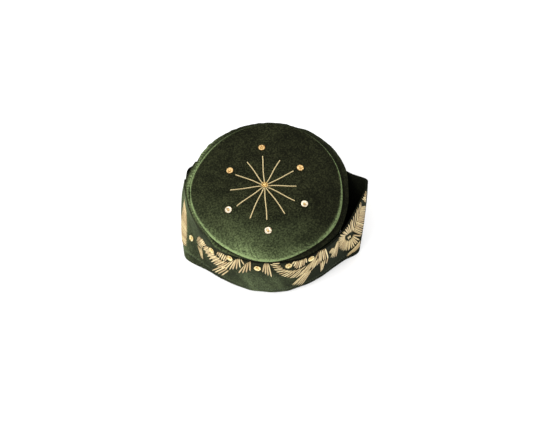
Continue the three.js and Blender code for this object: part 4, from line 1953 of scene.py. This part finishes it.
@dataclass
class StarBead:
    """The gold bead at the star's middle, with a ring of seed beads pressed round it."""

    radius: float = 2.5 * MM
    bore: float = 0.6 * MM
    seeds: int = 9
    seed_radius: float = 0.95 * MM
    seed_sides: int = 10
    seed_rings: int = 8
    ring_radius: float = 3.2 * MM
    sides: int = 32
    rings: int = 18
    scallop: float = 0.035

    def add_seeds(self, parts: MeshParts, seat: Seat) -> None:
        """Adds the ring of seeds: equal balls of rings, at even steps round the seat's facing.

        Args:
            parts: Where the points and faces go.
            seat: Place and facing of the ring.
        """
        angle = np.linspace(0.0, np.pi, self.seed_rings)[1:-1]
        profile = np.stack([np.sin(angle), np.cos(angle)], axis=-1) * self.seed_radius
        turn = even_turns(self.seeds)
        side = unit(np.cross(seat.facing, np.array([1.0, 0.0, 0.0])))
        other = np.cross(seat.facing, side)
        ring = np.cos(turn)[:, None] * side + np.sin(turn)[:, None] * other
        poles = (self.seed_radius, -self.seed_radius)
        for place in seat.middle + ring * self.ring_radius + seat.facing * self.seed_radius * 0.4:
            Seat(place, seat.facing).add_closed(parts, profile, self.seed_sides, poles)

    def build(self, seat: Seat, gilt: bpy.types.Material) -> bpy.types.Object:
        """Makes the bead: rings of radius sin p and height cos p, cut by shallow facets round it.

        Args:
            seat: Place and facing of the bead.
            gilt: Its finish.

        Returns:
            The piece.
        """
        angle = np.linspace(np.arcsin(self.bore / self.radius), np.pi, self.rings)[:-1]
        profile = np.stack([self.radius * np.sin(angle), self.radius * np.cos(angle)], axis=-1)
        dimple = np.array([[self.bore * 0.8, self.radius * 0.8], [self.bore, self.radius * 0.93]])
        profile = np.concatenate([dimple, profile])
        scallop = 1 - self.scallop * np.abs(np.sin(np.arange(self.sides) * np.pi / 4))
        parts = MeshParts()
        poles = (self.radius * 0.75, -self.radius)
        seat.add_closed(parts, profile, self.sides, poles, scallop=scallop)
        self.add_seeds(parts, seat)
        return fit(parts.build("star_middle_bead", (gilt,)), "gold_bead", "star_bead")


# The studio


@dataclass(frozen=True)
class Camera:
    """The photograph's view, from sizes solved on its frame of 533 by 447 pixels."""

    elevation_deg: float = 54.0
    distance: float = 0.62
    focal_px: float = 511.5
    frame_width_px: float = 533.0
    frame_height_px: float = 447.0
    target_row_px: float = 206.0
    target_from_crown: tuple[float, float, float] = (-3.3 * MM, 3.1 * MM, 60 * MM)
    sensor: float = 36.0

    def build(self, shape: CapShape) -> bpy.types.Object:
        """Makes the scene's camera.

        Args:
            shape: The cap's shape, for its centre.

        Returns:
            The camera.
        """
        lens = bpy.data.cameras.new("photo_view")
        lens.sensor_width = self.sensor
        lens.lens = self.focal_px / self.frame_width_px * self.sensor
        lens.shift_y = (self.target_row_px - self.frame_height_px / 2) / self.frame_width_px
        lens.clip_start = 0.01
        camera = bpy.data.objects.new("photo_view", lens)
        tilt = np.radians(self.elevation_deg)
        back = Vector((0.0, -np.cos(tilt), np.sin(tilt)))
        target = Vector((*shape.centre, 0.0)) + Vector(self.target_from_crown)
        camera.location = target + back * self.distance
        camera.rotation_mode = "QUATERNION"
        camera.rotation_quaternion = (-back).to_track_quat("-Z", "Y")
        bpy.context.scene.collection.objects.link(camera)
        bpy.context.scene.camera = camera
        return camera


@dataclass(frozen=True)
class SoftLight:
    """A square of soft light that points at the cap."""

    name: str
    place: tuple[float, float, float]
    size: float
    watts: float
    colour: Colour = (1.0, 1.0, 1.0)
    aim: tuple[float, float, float] = (0.0, 0.0, 60 * MM)

    def build(self) -> None:
        """Makes the light."""
        lamp = bpy.data.lights.new(self.name, "AREA")
        lamp.shape = "SQUARE"
        lamp.size = self.size
        lamp.energy = self.watts
        lamp.color = self.colour
        light = bpy.data.objects.new(self.name, lamp)
        light.location = self.place
        light.rotation_mode = "QUATERNION"
        light.rotation_quaternion = (Vector(self.place) - Vector(self.aim)).to_track_quat("Z", "Y")
        bpy.context.scene.collection.objects.link(light)


@dataclass
class Studio:
    """A pale floor under soft light, mostly from the left and the front."""

    floor_half: float = 3.0
    floor_points: int = 5
    floor_drop: float = 0.2 * MM
    sky: float = 1.0
    lights: tuple[SoftLight, ...] = (
        SoftLight("key_left", (-0.75, -0.45, 0.85), 0.7, 9.0),
        SoftLight("fill_front", (0.1, -1.0, 0.5), 0.9, 3.0),
        SoftLight("rim_right", (0.8, 0.35, 0.7), 0.5, 3.0),
    )

    def build(self) -> None:
        """Makes the floor, the even sky and the lights."""
        edge = np.linspace(-self.floor_half, self.floor_half, self.floor_points)
        x, y = np.meshgrid(edge, edge, indexing="xy")
        parts = MeshParts()
        first = parts.add_points(np.stack([x, y, np.full_like(x, -self.floor_drop)], axis=-1))
        parts.add_grid(first, self.floor_points, self.floor_points)
        parts.build("floor", (StudioFloor().material(),))
        world = bpy.data.worlds.new("even_sky")
        world.use_nodes = True
        background = world.node_tree.nodes["Background"]
        background.inputs[0].default_value = (1.0, 1.0, 1.0, 1.0)
        background.inputs[1].default_value = self.sky
        bpy.context.scene.world = world
        bpy.context.scene.view_settings.view_transform = "Standard"
        for light in self.lights:
            light.build()


class Trim(Enum):
    """Where a sequin is sewn, with the start of its nodes' names."""

    TIP = "tip_sequin_"
    CUFF = "cuff_sequin_"


def sew_sequins(frame: dict, shape: CapShape, trim: Trim,
                gloss: tuple[bpy.types.Material, bpy.types.Material], gilt: bpy.types.Material) -> None:
    """Puts a cupped sequin in place of every plain one of a kind.

    Args:
        shape: The cap's shape.
        trim: Which sequins.
        gloss: Finishes of the discs towards the front and towards the back.
        gilt: Finish of the beads.
    """
    inside = np.array([*shape.centre, shape.rim_height / 2])
    for node in sorted(name for name in frame["nodes"] if name.startswith(trim.value)):
        seat = Seat.of_node(frame, node, inside)
        behind = int(seat.middle[1] > shape.centre[1])
        CupSequin().build(f"cupped_{node}", node, seat, gloss[behind], gilt)


def main() -> None:
    """Builds the cap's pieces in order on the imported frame, then the studio."""
    logging.basicConfig(level=logging.INFO, format="%(message)s")
    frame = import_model()
    shape = CapShape().seated_on_frame()
    # The pale colours of the velvets are their painted highlight.
    crown_velvet = Velvet("crown_velvet", deep=(0.0055, 0.006, 0.0028), pile=(0.034, 0.037, 0.016),
                          crushed=(0.245, 0.325, 0.14)).material()
    cuff_velvet = Velvet("cuff_velvet", deep=(0.0065, 0.0072, 0.0038), pile=(0.031, 0.037, 0.017),
                         crushed=(0.21, 0.27, 0.13)).material()
    back = PlainBack().material()
    # Thread colours: bright for the painted glints, then painted shade, and painted shade at the edges.
    gold = SatinThread("gold_satin_thread").material()
    cord_gold = SatinThread("gold_cord", bright=(0.88, 0.74, 0.4), worn=(0.56, 0.42, 0.18),
                            strands=2.0, twist=4000.0).material()
    hem_thread = SatinThread("hem_thread", bright=(0.07, 0.1, 0.05), worn=(0.04, 0.06, 0.03),
                             edge=(0.01, 0.016, 0.008), metal=0.0).material()
    gilt = GiltBead().material()
    pearl_gloss = GlossSequin("pearl_sequin_gloss", (0.8, 0.74, 0.58), (0.3, 0.19, 0.09)).material()
    tip_gloss = GlossSequin("tip_sequin_gloss", (0.8, 0.58, 0.26), (0.28, 0.11, 0.015)).material()
    cuff_gloss = GlossSequin("cuff_sequin_gloss", (0.8, 0.71, 0.36), (0.28, 0.15, 0.03)).material()

    tip = CrownTip(shape)
    tip.build(crown_velvet, back)
    CrownSide(shape, tip).build(crown_velvet, back)
    cuff = Cuff(shape)
    cuff.build(cuff_velvet)
    LeafSprays(cuff).build(gold)
    HemStitching(cuff).build(hem_thread)
    inside = np.array([*shape.centre, 0.0])
    bead_seat = Seat.of_node(frame, "star_bead", inside)
    bead_seat = Seat(bead_seat.middle, np.array([0.0, 0.0, 1.0]))
    StarCords(tip, (bead_seat.middle[0], bead_seat.middle[1])).build(cord_gold)
    StarBead().build(bead_seat, gilt)
    sew_sequins(frame, shape, Trim.TIP, (pearl_gloss, tip_gloss), gilt)
    sew_sequins(frame, shape, Trim.CUFF, (cuff_gloss, cuff_gloss), gilt)

    Camera().build(shape)
    Studio().build()


if __name__ == "__main__":
    main()
